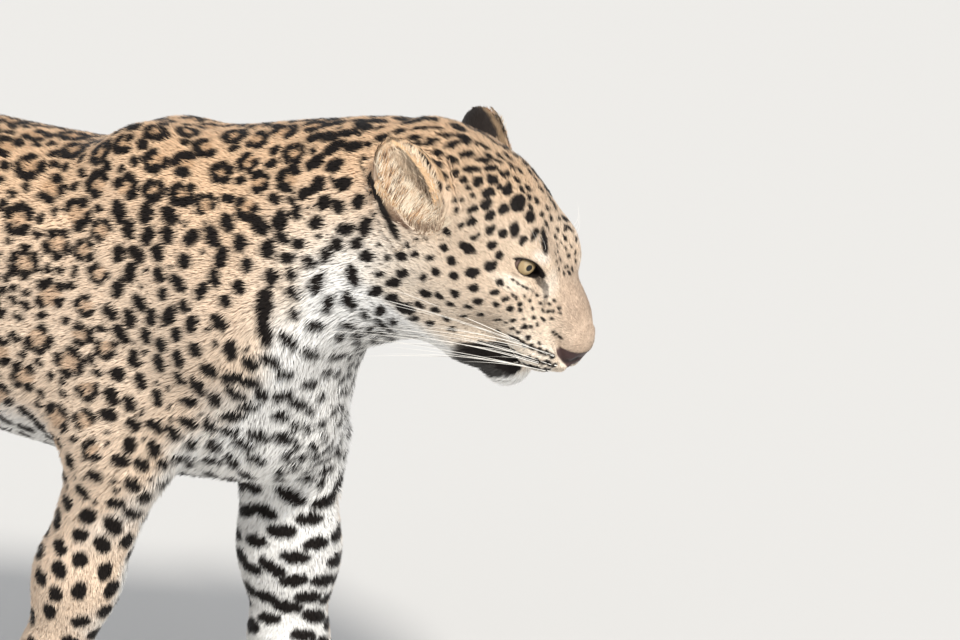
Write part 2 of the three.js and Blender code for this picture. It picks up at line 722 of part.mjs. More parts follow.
// ---- The scene ----
const COAT = 0xc9995f,
  PALE = 0xd8bd92,
  DARK = 0x2a211b;
const colourOf = (name) =>
  name.startsWith("eye") ? 0xb79a4e : name === "nose" ? DARK : /paw|leg|neck/.test(name) ? PALE : COAT;
const finishOf = (name) =>
  name.startsWith("eye") ? 0.08 : name === "nose" ? 0.45 : 0.85;

const leopard = new THREE.Group();
leopard.position.set(-CENTRE[0], -CENTRE[1], 0);
for (const [name, solid] of Object.entries(solids)) {
  const m = solid.getMesh(),
    n = m.numProp,
    v = new Float32Array(m.numVert * 3);
  for (let i = 0; i < m.numVert; i++)
    v.set(m.vertProperties.subarray(i * n, i * n + 3), i * 3);
  const g = new THREE.BufferGeometry()
    .setAttribute("position", new THREE.BufferAttribute(v, 3))
    .setIndex(new THREE.BufferAttribute(Uint32Array.from(m.triVerts), 1));
  g.computeVertexNormals();
  const mesh = new THREE.Mesh(
    g,
    new THREE.MeshStandardMaterial({
      color: colourOf(name),
      roughness: finishOf(name),
      metalness: 0,
    }),
  );
  mesh.name = name;
  leopard.add(mesh);
}

export default leopard;
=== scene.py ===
import math

import bpy
import numpy as np
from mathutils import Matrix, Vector


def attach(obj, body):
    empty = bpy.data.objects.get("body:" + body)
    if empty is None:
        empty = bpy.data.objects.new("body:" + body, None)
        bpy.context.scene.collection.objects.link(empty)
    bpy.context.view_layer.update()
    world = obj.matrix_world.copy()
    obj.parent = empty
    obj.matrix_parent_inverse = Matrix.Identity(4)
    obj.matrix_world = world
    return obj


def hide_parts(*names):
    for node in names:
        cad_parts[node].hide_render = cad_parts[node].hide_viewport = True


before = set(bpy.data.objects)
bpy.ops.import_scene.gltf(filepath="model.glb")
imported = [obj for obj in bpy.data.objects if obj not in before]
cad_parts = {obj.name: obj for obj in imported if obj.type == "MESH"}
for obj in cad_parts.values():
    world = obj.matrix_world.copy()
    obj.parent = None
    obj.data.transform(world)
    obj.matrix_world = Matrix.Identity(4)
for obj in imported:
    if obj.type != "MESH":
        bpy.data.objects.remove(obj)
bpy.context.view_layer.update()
RNG = np.random.default_rng(7)

# The leopard's body is one field in millimetres, in the frame of the withers: x forwards, y to its left, z up from the floor.
# CENTRE is the middle of the whole animal there, which is the origin of the part.
CENTRE = np.array([-303.33, 1.57, 0.0])
HEAD = {"nose": [430, -20, 459], "pitch": 28, "yaw": -8}
EYE_AT, EYE_R = np.array([-94.0, 33.0, 51.0]), 16.0
TRUNK_N, SKULL_N = 2.25, 2.15
TRUNK = [
    [-718, 560, 500, 28],
    [-702, 586, 455, 52],
    [-672, 610, 420, 76],
    [-620, 630, 396, 92],
    [-540, 641, 386, 99],
    [-440, 640, 376, 101],
    [-330, 635, 352, 110],
    [-220, 630, 326, 119],
    [-120, 620, 305, 121],
    [-60, 617, 295, 116],
    [0, 628, 288, 108],
    [60, 643, 287, 100],
    [100, 650, 300, 95],
    [135, 656, 338, 91],
    [165, 660, 395, 89],
    [195, 664, 430, 88],
    [225, 666, 442, 87],
    [255, 666, 452, 84],
    [280, 656, 468, 74],
    [300, 636, 492, 54],
    [312, 612, 520, 30],
]
SKULL = [
    [-255, 92, -66, 40],
    [-240, 104, -76, 58],
    [-220, 114, -80, 68],
    [-190, 119, -78, 73],
    [-160, 117, -72, 74],
    [-130, 107, -64, 71],
    [-103, 93, -56, 62],
    [-82, 73, -46, 51],
    [-62, 57, -36, 39],
    [-38, 42, -26, 26],
    [-24, 31, -24, 19],
    [-14, 17, -18, 13],
]
BODY = [
    ["scapula", "cone", [-14, -40, 604], [98, -74, 470], 37, 46, 0.8, 72],
    ["scapula", "cone", [-4, 38, 586], [118, 74, 462], 36, 46, 0.8, 66],
    ["upper_arm", "cone", [92, -70, 455], [-22, -78, 338], 50, 50, 0.75, 34],
    ["upper_arm", "cone", [112, 72, 430], [84, 80, 336], 50, 54, 0.75, 30],
    ["triceps", "cone", [-22, -62, 520], [-44, -78, 362], 44, 46, 0.72, 40],
    ["triceps", "cone", [10, 62, 520], [44, 78, 352], 44, 44, 0.72, 40],
    ["forearm", "cone", [-30, -79, 318], [-72, -77, 200], 52, 40, 0.8, 34],
    ["forearm", "cone", [86, 80, 318], [86, 78, 200], 60, 47, 0.76, 34],
    ["wrist", "cone", [-72, -77, 200], [-100, -74, 108], 40, 32, 0.88, 30],
    ["wrist", "cone", [86, 78, 200], [86, 76, 108], 47, 35, 0.84, 30],
    ["metacarpus", "cone", [-100, -74, 108], [-88, -74, 48], 32, 33, 1.12, 26],
    ["metacarpus", "cone", [86, 76, 108], [104, 76, 48], 35, 33, 1.12, 26],
    ["gluteal", "ell", [-600, -50, 545], [105, 62, 78], [0, 0, 0], 40],
    ["gluteal", "ell", [-600, 50, 545], [105, 62, 78], [0, 0, 0], 40],
    ["thigh", "cone", [-604, -62, 510], [-500, -82, 372], 92, 62, 0.62, 40],
    ["thigh", "cone", [-612, 62, 505], [-536, 84, 365], 92, 60, 0.62, 40],
    ["hamstring", "cone", [-664, -56, 500], [-546, -80, 330], 50, 42, 0.7, 36],
    ["hamstring", "cone", [-672, 56, 498], [-596, 82, 322], 50, 40, 0.7, 36],
    ["gaskin", "cone", [-506, -84, 350], [-542, -80, 215], 54, 33, 0.72, 28],
    ["gaskin", "cone", [-550, 86, 340], [-648, 80, 220], 54, 33, 0.72, 28],
    ["hock", "cone", [-542, -80, 215], [-556, -78, 150], 33, 30, 0.78, 30],
    ["hock", "cone", [-648, 80, 220], [-676, 78, 172], 33, 30, 0.78, 30],
    ["heel", "ell", [-566, -78, 168], [20, 18, 24], [0, 0, 0], 16],
    ["heel", "ell", [-690, 78, 188], [20, 18, 24], [0, 0, 0], 16],
    ["metatarsus", "cone", [-556, -78, 150], [-496, -78, 46], 30, 28, 0.95, 26],
    ["metatarsus", "cone", [-676, 78, 172], [-690, 78, 46], 30, 28, 0.95, 26],
    ["flank_fold", "cone", [-430, -84, 400], [-480, -84, 360], 26, 30, 0.5, 40],
    ["flank_fold", "cone", [-440, 84, 400], [-500, 84, 360], 26, 30, 0.5, 40],
    ["neck_base", "cone", [140, -40, 520], [70, -60, 470], 66, 60, 0.8, 50],
    ["neck_base", "cone", [140, 40, 520], [90, 60, 470], 66, 60, 0.8, 50],
    ["brisket", "ell", [114, 0, 385], [62, 70, 92], [0, 0, 0], 40],
]
FACE = [
    ["zygoma", "ell", [-122, -50, 10], [44, 27, 27], [0, -8, 0], 24],
    ["zygoma", "ell", [-122, 50, 10], [44, 27, 27], [0, -8, 0], 24],
    ["cheekbone", "cone", [-84, -40, 16], [-150, -62, 4], 17, 22, 1, 20],
    ["cheekbone", "cone", [-84, 40, 16], [-150, 62, 4], 17, 22, 1, 20],
    ["masseter", "ell", [-150, -50, -28], [44, 28, 42], [0, 0, 0], 26],
    ["masseter", "ell", [-150, 50, -28], [44, 28, 42], [0, 0, 0], 26],
    ["brow", "ell", [-86, -30, 58], [25, 21, 17], [0, 20, 0], 24],
    ["brow", "ell", [-86, 30, 58], [25, 21, 17], [0, 20, 0], 24],
    ["bridge", "ell", [-46, 0, 11], [38, 25, 26], [0, 30, 0], 16],
    ["whisker_pad", "ell", [-43, -25, -20], [27, 19, 20], [0, 8, 0], 9],
    ["whisker_pad", "ell", [-43, 25, -20], [27, 19, 20], [0, 8, 0], 9],
    ["lip_front", "ell", [-26, -11, -23], [17, 13, 14], [0, 0, 0], 8],
    ["lip_front", "ell", [-26, 11, -23], [17, 13, 14], [0, 0, 0], 8],
    ["nose_tip", "ell", [-19, 0, 0], [16, 17, 14], [0, 0, 0], 10],
    ["pad_rear", "ell", [-66, -30, -4], [28, 17, 22], [0, 10, 0], 14],
    ["pad_rear", "ell", [-66, 30, -4], [28, 17, 22], [0, 10, 0], 14],
    ["chin", "ell", [-66, 0, -62], [20, 23, 22], [0, 0, 0], 12],
    ["jaw_front", "cone", [-72, -15, -57], [-108, -36, -46], 18, 22, 1, 14],
    ["jaw_front", "cone", [-72, 15, -57], [-108, 36, -46], 18, 22, 1, 14],
    ["jaw_rear", "cone", [-106, -36, -46], [-156, -44, -34], 22, 32, 1, 18],
    ["jaw_rear", "cone", [-106, 36, -46], [-156, 44, -34], 22, 32, 1, 18],
    ["throat_fill", "ell", [-130, 0, -44], [62, 40, 30], [0, 0, 0], 24],
    ["socket", "sub", [-78, -47, 50], [15, 11, 12], [0, 0, 0], 16],
    ["socket", "sub", [-78, 47, 50], [15, 11, 12], [0, 0, 0], 16],
]
PAWS = [
    {"name": "fore_right", "at": [-66, -76], "turn": -4, "length": 124, "width": 96, "height": 62},
    {"name": "fore_left", "at": [124, 78], "turn": 3, "length": 124, "width": 96, "height": 62},
    {"name": "hind_right", "at": [-468, -80], "turn": -6, "length": 114, "width": 82, "height": 54},
    {"name": "hind_left", "at": [-668, 80], "turn": 5, "length": 114, "width": 82, "height": 54},
]
TAIL = [
    [-690, 0, 566, 36],
    [-735, 0, 532, 31],
    [-772, 0, 474, 27],
    [-792, 0, 404, 25],
    [-806, 0, 330, 24],
    [-824, 0, 262, 24],
    [-856, 0, 206, 24],
    [-904, 0, 172, 24],
    [-956, 0, 172, 23],
    [-998, -2, 202, 22],
    [-1020, -4, 246, 20],
]
EAR_BASE, EAR_OPEN = [-173, 58, 33], [0.28, 0.94, 0.10]
EAR_TIP = {-1: [-246, 90, 101], 1: [-241, 86, 91]}


# ---- The field ----
def smin(a, b, k):
    h = np.maximum(k - np.abs(a - b), 0) / k
    return np.minimum(a, b) - h * h * k * 0.25


def smax(a, b, k):
    return -smin(-a, -b, k)


def step01(x, a, b):
    t = np.clip((x - a) / (b - a), 0, 1)
    return t * t * (3 - 2 * t)


def curve(table, x, c):
    X = np.array([s[0] for s in table], float)
    Y = np.array([s[c] for s in table], float)
    h = np.diff(X)
    d = np.diff(Y) / h
    m = np.zeros(len(X))
    m[0], m[-1] = d[0], d[-1]
    for i in range(1, len(X) - 1):
        if d[i - 1] * d[i] > 0:
            w1, w2 = 2 * h[i] + h[i - 1], h[i] + 2 * h[i - 1]
            m[i] = (w1 + w2) / (w1 / d[i - 1] + w2 / d[i])
    i = np.clip(np.searchsorted(X, x) - 1, 0, len(X) - 2)
    t = np.clip((x - X[i]) / h[i], 0, 1)
    return (
        (2 * t**3 - 3 * t**2 + 1) * Y[i]
        + (t**3 - 2 * t**2 + t) * h[i] * m[i]
        + (-2 * t**3 + 3 * t**2) * Y[i + 1]
        + (t**3 - t**2) * h[i] * m[i + 1]
    )


def loft(P, table, n):
    x = P[:, 0]
    x0, x1 = table[0][0], table[-1][0]
    xc = np.clip(x, x0, x1)
    top, bot, hw = (curve(table, xc, c) for c in (1, 2, 3))
    zc, hz = (top + bot) / 2, (top - bot) / 2
    rho = (np.abs(P[:, 1] / hw) ** n + np.abs((P[:, 2] - zc) / hz) ** n + 1e-12) ** (1 / n)
    away = np.hypot(P[:, 1], P[:, 2] - zc)
    low = -np.minimum(hw, hz)
    d = np.maximum(np.where(rho > 1e-3, (rho - 1) * away / np.maximum(rho, 1e-3), low), low)
    dx = np.maximum(np.maximum(x0 - x, x - x1), 0)
    return np.where(dx > 0, np.hypot(np.maximum(d, 0), dx), d)


def cone(P, a, b, ra, rb, flat):
    a, b = np.array(a, float), np.array(b, float)
    ba = b - a
    t = np.clip(((P - a) @ ba) / (ba @ ba), 0, 1)
    q = P - (a + t[:, None] * ba)
    q = q * np.array([1, 1 / flat, 1])
    d = np.sqrt((q * q).sum(1))
    g = np.sqrt(((q * np.array([1, 1 / flat, 1])) ** 2).sum(1)) / np.maximum(d, 1e-9)
    return (d - ra - (rb - ra) * t) / np.maximum(g, 0.6)


def turn(yaw, pitch, roll):
    a, b, c = np.radians([yaw, pitch, roll])
    rz = np.array([[np.cos(a), -np.sin(a), 0], [np.sin(a), np.cos(a), 0], [0, 0, 1]])
    ry = np.array([[np.cos(b), 0, np.sin(b)], [0, 1, 0], [-np.sin(b), 0, np.cos(b)]])
    rx = np.array([[1, 0, 0], [0, np.cos(c), -np.sin(c)], [0, np.sin(c), np.cos(c)]])
    return rz @ ry @ rx


def ellipsoid(P, c, r, rot=(0, 0, 0)):
    q = P - np.array(c, float)
    if any(rot):
        q = q @ turn(*rot)
    r = np.array(r, float)
    k0 = np.sqrt(((q / r) ** 2).sum(1))
    k1 = np.sqrt(((q / r**2) ** 2).sum(1))
    return np.where(k1 > 1e-9, k0 * (k0 - 1) / np.maximum(k1, 1e-9), -r.min())


def add(P, f, row):
    k = row[-1]
    if row[1] == "cone":
        r = max(row[4], row[5])
        lo, hi = np.minimum(row[2], row[3]) - r, np.maximum(row[2], row[3]) + r
    else:
        r = max(row[3])
        lo, hi = np.array(row[2]) - r, np.array(row[2]) + r
    m = ((P > lo - k - 8) & (P < hi + k + 8)).all(1)
    if m.any():
        d = cone(P[m], *row[2:7]) if row[1] == "cone" else ellipsoid(P[m], *row[2:5])
        f[m] = smax(f[m], -d, k) if row[1] == "sub" else smin(f[m], d, k)
    return f


HEAD_R = turn(HEAD["yaw"], HEAD["pitch"], 0)
NOSE_TIP = np.array(HEAD["nose"], float)


def to_head(P):
    return (P - NOSE_TIP) @ HEAD_R


def from_head(Q):
    return np.asarray(Q, float) @ HEAD_R.T + NOSE_TIP


def unit(v):
    v = np.asarray(v, float)
    return v / np.maximum(np.linalg.norm(v, axis=-1, keepdims=True), 1e-12)


def sided(v, s):
    return np.array([v[0], v[1] * s, v[2]], float)


def ear_frame(s):
    base = sided(EAR_BASE, s)
    rise = sided(EAR_TIP[s], s) - base
    length = np.linalg.norm(rise)
    axis = rise / length
    o = sided(EAR_OPEN, s)
    o = unit(o - axis * (o @ axis))
    return base, np.stack([np.cross(o, axis), o, axis], 1), length


EARS = {s: ear_frame(s) for s in (-1, 1)}


def in_ear(Q, s):
    base, m, _ = EARS[s]
    return (Q - base) @ m


def ear_field(Q, s):
    p = in_ear(Q, s)
    L = EARS[s][2]
    outer = ellipsoid(p, [0, 0, L * 0.5], [32, 20, L * 0.52])
    inner = ellipsoid(p, [0, 15.5, L * 0.5 + 2], [25, 21, L * 0.46])
    return smax(outer, -inner, 4)


# The right eye's own frame: forwards out of the socket, along the lids towards the nose, and up.
EYE_OUT = unit([0.77, -0.62, 0.14])
EYE_ALONG = np.array([0.63, 0.72, -0.30])
EYE_ALONG = unit(EYE_ALONG - EYE_OUT * (EYE_ALONG @ EYE_OUT))
EYE_UP = np.cross(EYE_OUT, EYE_ALONG)
EYE_UP *= np.sign(EYE_UP[2])
EYE_M = np.stack([EYE_OUT, EYE_ALONG, EYE_UP], 1)


def in_eye(Q, s):
    q = Q * np.array([1, -s, 1.0])  # the left eye is read as a right one
    return (q - sided(EYE_AT, -1)) @ EYE_M


def lid_shape(p):
    """Below 1 between the lids: an almond, longer towards the nose."""
    a = p[:, 1] - 1.5
    half = np.where(a > 0, 14.0, 13.5)
    up = np.where(p[:, 2] - 0.3 > 0, 7.5, 7.8)
    return (np.abs(a / half) ** 1.7 + np.abs((p[:, 2] - 0.3) / up) ** 2 + 1e-9) ** 0.5


def near_line(P, line):
    """Distance to a chain of points, and the place along it from 0 to 1."""
    line = np.asarray(line, float)
    best, place = np.full(len(P), 1e9), np.zeros(len(P))
    for i in range(len(line) - 1):
        a, b = line[i], line[i + 1]
        t = np.clip(((P - a) @ (b - a)) / ((b - a) @ (b - a)), 0, 1)
        d = np.linalg.norm(P - a - t[:, None] * (b - a), axis=1)
        m = d < best
        best[m] = d[m]
        place[m] = (i + t[m]) / (len(line) - 1)
    return best, place


MOUTH = [(-17, -2, -31), (-18, -14, -35), (-25, -28, -40), (-42, -36, -39), (-60, -41, -32), (-76, -46, -33), (-97, -50, -42)]
NOSTRIL = [(-6, -7, -14), (-8, -13, -18), (-13, -19.5, -17), (-19.5, -23.5, -10), (-24.5, -25.5, -3)]


def head_field(Q, detail=True):
    f = loft(Q, SKULL, SKULL_N)
    for row in FACE:
        f = add(Q, f, row)
    if detail:
        A = Q * np.array([1, 1, 1.0])
        A[:, 1] = -np.abs(A[:, 1])
        near = (A[:, 0] > -130) & (np.abs(Q[:, 1]) < 90)
        if near.any():
            q = A[near]
            g = f[near]
            # the leather of the nose: a block with a flat face over the lip
            nose = ellipsoid(q, [-19, 0, -12], [14, 18.5, 13], (0, 0, 0))
            g = smin(g, nose, 4)
            d, t = near_line(q, MOUTH)
            g = g + 3.4 * np.exp(-((d / 2.3) ** 2)) * (1 - 0.6 * t)
            d, t = near_line(q, [(-8, 0, -18), (-13, 0, -25), (-18, 0, -32)])
            g = g + 2.2 * np.exp(-((d / 1.8) ** 2))
            d, t = near_line(q, NOSTRIL)
            g = g + 5.0 * np.exp(-((d / (3.4 - 1.6 * t)) ** 2))
            p = (q - sided(EYE_AT, -1)) @ EYE_M
            r = np.linalg.norm(p, axis=1)
            g = np.where(p[:, 0] > 2, smin(g, r - 18.6, 7), g)
            rho = lid_shape(p)
            pocket = np.maximum((rho - 1) * 7.4, 7.5 - p[:, 0])
            g = smax(g, -pocket, 1.6)
            f[near] = g
    for s in (-1, 1):
        m = (np.abs(Q - (sided(EAR_BASE, s) + sided(EAR_TIP[s], s)) / 2) < 90).all(1)
        if m.any():
            f[m] = smin(f[m], ear_field(Q[m], s), 11)
    return f


def paw_field(P, w):
    c, s = math.cos(math.radians(w["turn"])), math.sin(math.radians(w["turn"]))
    q = P - np.array([*w["at"], 0.0])
    q = np.stack([q[:, 0] * c + q[:, 1] * s, -q[:, 0] * s + q[:, 1] * c, q[:, 2]], 1)
    L, W, H = w["length"], w["width"], w["height"]
    f = ellipsoid(q, [-L * 0.16, 0, H * 0.47], [L * 0.34, W * 0.42, H * 0.58])
    for u, v in [(-0.34, 0.16), (-0.13, 0.29), (0.12, 0.29), (0.34, 0.16)]:
        f = smin(f, ellipsoid(q, [v * L - 2, u * W, H * 0.36], [L * 0.23, W * 0.155, H * 0.41]), 7)
    return f


def field(P, detail=True):
    f = loft(P, TRUNK, TRUNK_N)
    for row in BODY:
        f = add(P, f, row)
    for w in PAWS:
        m = (np.abs(P - np.array([*w["at"], 20])) < 120).all(1)
        if m.any():
            f[m] = smin(f[m], paw_field(P[m], w), 14)
    for a, b in zip(TAIL[:-1], TAIL[1:]):
        f = add(P, f, ["", "cone", a[:3], b[:3], a[3], b[3], 1.0, 6])
    m = ((P > NOSE_TIP - [330, 200, 200]) & (P < NOSE_TIP + [60, 200, 330])).all(1)
    if m.any():
        f[m] = smin(f[m], head_field(to_head(P[m]), detail), 24)
    return f


# ---- Where on the animal a point is ----
def tail_place(P):
    """Distance to the tail's middle line over its radius, and the place along it in mm."""
    T = np.array([t[:4] for t in TAIL], float)
    best, along = np.full(len(P), 1e9), np.zeros(len(P))
    run = 0.0
    for a, b in zip(T[:-1], T[1:]):
        ba = b[:3] - a[:3]
        n = np.linalg.norm(ba)
        t = np.clip(((P - a[:3]) @ ba) / (n * n), 0, 1)
        d = np.linalg.norm(P - a[:3] - t[:, None] * ba, axis=1) / (a[3] + (b[3] - a[3]) * t)
        m = d < best
        best[m] = d[m]
        along[m] = run + t[m] * n
        run += n
    return best, along, run


LEGS = {  # each leg's middle line from the floor up
    "foreleg_right": [(-66, -76, 0), (-88, -74, 48), (-100, -74, 108), (-72, -77, 200), (-30, -79, 318), (60, -74, 440)],
    "foreleg_left": [(124, 78, 0), (104, 76, 48), (86, 76, 108), (86, 78, 200), (86, 80, 318), (105, 72, 440)],
    "hindleg_right": [(-468, -80, 0), (-496, -78, 46), (-556, -78, 150), (-542, -80, 215), (-506, -84, 350), (-590, -66, 480)],
    "hindleg_left": [(-668, 80, 0), (-690, 78, 46), (-676, 78, 172), (-648, 80, 220), (-550, 86, 340), (-600, 64, 480)],
}


def regions(P):
    """A number for each point: 0 head, 1 neck, 2 chest, 3 loin, 4 rump, 5 to 8 legs, 9 tail, 10 and 11 ears."""
    r = np.full(len(P), 2)
    x, y, z = P.T
    r[x < -175] = 3
    r[x < -415] = 4
    r[(x - 40) * 0.856 + (z - 660) * 0.517 > 0] = 1
    fore = (x > -170) & (x < 230) & (z < 276 + (np.abs(y) - 30) * 0.71)
    hind = (x > -760) & (x < -425) & (z < 338 + (np.abs(y) - 30) * 0.71)
    r[fore & (y < 0)] = 5
    r[fore & (y >= 0)] = 6
    r[hind & (y < 0)] = 7
    r[hind & (y >= 0)] = 8
    d, along, _ = tail_place(P)
    r[(d < 1.35) & (x < -700) & (along > 42)] = 9
    r[(x - 262) * 0.967 - 0.136 * y - 0.213 * (z - 565) > 0] = 0
    Q = to_head(P)
    for i, s in ((10, -1), (11, 1)):
        e = in_ear(Q, s)
        m = (Q[:, 0] < -150) & (ear_field(Q, s) < 2.5) & (np.abs(e[:, 1]) < 32) & (e[:, 2] > 13)
        r[m] = i
    return r


REGION = ["head", "neck", "chest", "loin", "rump", "foreleg_right", "foreleg_left", "hindleg_right", "hindleg_left", "tail", "ear_right", "ear_left"]


def head_share(P):
    """1 on the head, falling to 0 behind the jaw and ears, and the place in the head's own frame."""
    Q = to_head(P)
    near = ((P > NOSE_TIP - [330, 200, 200]) & (P < NOSE_TIP + [60, 200, 330])).all(1)
    return np.where(near, step01(Q[:, 0], -236, -176), 0), Q


def leg_share(P):
    """1 low on the legs, 0 on the body."""
    return 1 - step01(P[:, 2], 215, 330)


def coat_depth(P):
    """How far the skin lies under the tips of the coat, in mm."""
    x, y, z = P.T
    d = 9.0 + 3.0 * step01(-z, -380, -330) * (x > -420) * (z > 240)
    low = leg_share(P)
    d = d * (1 - low) + low * (2.2 + 3.6 * step01(z, 50, 200))
    h, Q = head_share(P)
    face = 1.2 + 1.4 * step01(-Q[:, 0], 55, 100) + 4.4 * step01(-Q[:, 0], 105, 200)
    face *= 1 - 0.85 * step01(Q[:, 0], -26, -14) * (Q[:, 2] > -24)
    p = np.where((Q[:, 1] > 0)[:, None], in_eye(Q, 1), in_eye(Q, -1))
    r = np.linalg.norm(p, axis=1)
    face = face * (0.12 + 0.88 * step01(r, 20, 32))
    d = d * (1 - h) + face * h
    for s in (-1, 1):
        e = in_ear(Q, s)
        m = (np.abs(e[:, 0]) < 36) & (np.abs(e[:, 1]) < 24) & (e[:, 2] > 4) & (e[:, 2] < 120) & (Q[:, 0] < -150)
        d = np.where(m, np.minimum(d, 1.3 + 3 * (1 - step01(e[:, 2], 4, 26))), d)
    return d


def noise(P, scale, seed=0):
    """Smooth noise from -1 to 1 by turned sines."""
    r = np.random.default_rng(100 + seed)
    total = np.zeros(len(P))
    for i in range(6):
        k = unit(r.normal(size=3)) * r.uniform(0.7, 1.5) * 2 * np.pi / scale
        total += np.sin(P @ k + r.uniform(0, 6.28))
    return total / 3.0


# ---- The skin: the field's surface on a 4 mm grid, finer on the head and feet ----
def skin_at(P):
    f = field(P)
    return smax(f + coat_depth(P), -P[:, 2], 3.0)


def in_parts(fn, P, size=400000):
    return np.concatenate([fn(P[i : i + size]) for i in range(0, len(P), size)])


def grid_surface(fn, lo, hi, h, block=4):
    n = (np.ceil((np.array(hi) - lo) / (h * block)).astype(int)) * block
    nb = n // block
    side = h * block
    centres = np.stack(np.meshgrid(*[lo[d] + (np.arange(nb[d]) + 0.5) * side - h / 2 for d in range(3)], indexing="ij"), -1).reshape(-1, 3)
    coarse = in_parts(fn, centres)
    F = np.repeat(np.repeat(np.repeat(coarse.reshape(nb), block, 0), block, 1), block, 2).astype(np.float32)
    active = np.nonzero(np.abs(coarse) < side * 1.9)[0]
    bi = np.stack(np.unravel_index(active, nb), 1)
    off = np.stack(np.meshgrid(*[np.arange(block)] * 3, indexing="ij"), -1).reshape(-1, 3)
    ids = (bi[:, None] * block + off[None]).reshape(-1, 3)
    F[tuple(ids.T)] = in_parts(fn, lo + ids * h)
    inside = F < 0
    cells = tuple(n - 1)
    total, count = np.zeros((*cells, 3), np.float32), np.zeros(cells, np.int32)
    for d in range(3):
        others = [e for e in range(3) if e != d]
        for u in (0, 1):
            for v in (0, 1):
                s0, s1 = [slice(0, -1)] * 3, [slice(0, -1)] * 3
                for e, w in zip(others, (u, v)):
                    s0[e] = s1[e] = slice(w, w + n[e] - 1)
                s0[d], s1[d] = slice(0, n[d] - 1), slice(1, n[d])
                a, b = F[tuple(s0)], F[tuple(s1)]
                m = (a < 0) != (b < 0)
                t = a[m] / (a[m] - b[m])
                add_to = np.zeros((len(t), 3), np.float32)
                add_to[:, d] = t
                add_to[:, others[0]], add_to[:, others[1]] = u, v
                total[m] += add_to
                count[m] += 1
    idx = np.full(cells, -1, np.int32)
    has = np.nonzero(count)
    idx[has] = np.arange(len(has[0]))
    V = lo + (np.stack(has, 1) + total[has] / count[has][:, None]) * h
    quads = []
    for d in range(3):
        e, g = [(1, 2), (2, 0), (0, 1)][d]
        s0, s1 = [slice(1, -1)] * 3, [slice(1, -1)] * 3
        s0[d], s1[d] = slice(0, n[d] - 1), slice(1, n[d])
        a, b = inside[tuple(s0)], inside[tuple(s1)]
        m = np.nonzero(a != b)
        c = np.stack(m, 1)
        c[:, e] += 1
        c[:, g] += 1
        de, dg = np.zeros(3, int), np.zeros(3, int)
        de[e], dg[g] = 1, 1
        q = np.stack([idx[tuple((c - de - dg).T)], idx[tuple((c - dg).T)], idx[tuple(c.T)], idx[tuple((c - de).T)]], 1)
        flip = ~a[m]
        q[flip] = q[flip][:, ::-1]
        quads.append(q)
    Q = np.concatenate(quads)
    d0 = ((V[Q[:, 0]] - V[Q[:, 2]]) ** 2).sum(1)
    d1 = ((V[Q[:, 1]] - V[Q[:, 3]]) ** 2).sum(1)
    m = d0 <= d1
    T = np.concatenate([Q[m][:, [0, 1, 2]], Q[m][:, [0, 2, 3]], Q[~m][:, [0, 1, 3]], Q[~m][:, [1, 2, 3]]])
    return V.astype(float), T


def slope(fn, P, e=0.4):
    base = fn(P)
    g = np.stack([(fn(P + np.eye(3)[d] * e) - fn(P - np.eye(3)[d] * e)) / (2 * e) for d in range(3)], 1)
    return base, g


def draw_on(fn, P, steps, limit):
    first = P.copy()
    for _ in range(steps):
        f, g = slope(fn, P)
        P = P - (f / np.maximum((g * g).sum(1), 0.08))[:, None] * g
        P = first + np.clip(P - first, -limit, limit)
    return P


def refine(V, T, want):
    """Splits every edge whose middle is wanted, keeping the surface whole."""
    E = np.sort(np.concatenate([T[:, [0, 1]], T[:, [1, 2]], T[:, [2, 0]]]), 1)
    key = E[:, 0].astype(np.int64) * len(V) + E[:, 1]
    uniq, inv = np.unique(key, return_inverse=True)
    ea, eb = uniq // len(V), uniq % len(V)
    mid = (V[ea] + V[eb]) / 2
    split = want(mid)
    new = np.full(len(uniq), -1, np.int64)
    new[split] = len(V) + np.arange(split.sum())
    V2 = np.concatenate([V, mid[split]])
    n = len(T)
    m = new[inv].reshape(3, n).T
    c = (m >= 0).sum(1)
    out = [T[c == 0]]
    t, e = T[c == 3], m[c == 3]
    out += [np.stack([t[:, 0], e[:, 0], e[:, 2]], 1), np.stack([t[:, 1], e[:, 1], e[:, 0]], 1), np.stack([t[:, 2], e[:, 2], e[:, 1]], 1), e]
    for k in range(3):  # only edge k is split
        s = (c == 1) & (m[:, k] >= 0)
        t, e = T[s], m[s]
        a, b, o = t[:, k], t[:, (k + 1) % 3], t[:, (k + 2) % 3]
        out += [np.stack([a, e[:, k], o], 1), np.stack([e[:, k], b, o], 1)]
    for k in range(3):  # all but edge k are split
        s = (c == 2) & (m[:, k] < 0)
        t, e = T[s], m[s]
        a, b, o = t[:, k], t[:, (k + 1) % 3], t[:, (k + 2) % 3]
        e1, e2 = e[:, (k + 1) % 3], e[:, (k + 2) % 3]
        out += [np.stack([o, e2, e1], 1), np.stack([a, b, e1], 1), np.stack([a, e1, e2], 1)]
    return V2, np.concatenate(out), len(V)


def head_wanted(P):
    Q = to_head(P)
    return (Q[:, 0] > -215) & (Q[:, 0] < 20) & (np.abs(Q[:, 1]) < 125) & (Q[:, 2] > -100) | (Q[:, 0] > -290) & (Q[:, 0] < -150) & (Q[:, 2] > 20) & (Q[:, 2] < 125) & (np.abs(Q[:, 1]) > 45) & (np.abs(Q[:, 1]) < 125)


def fine_wanted(P):
    Q = to_head(P)
    A = Q.copy()
    A[:, 1] = -np.abs(A[:, 1])
    d1 = near_line(A, MOUTH)[0]
    p = (A - sided(EYE_AT, -1)) @ EYE_M
    eye = (np.linalg.norm(p, axis=1) < 27) & (p[:, 0] > 0)
    nose = (Q[:, 0] > -34) & (Q[:, 0] < 10) & (np.abs(Q[:, 1]) < 30) & (np.abs(Q[:, 2]) < 36)
    return eye | nose | (d1 < 6)


def paw_wanted(P):
    return P[:, 2] < 66


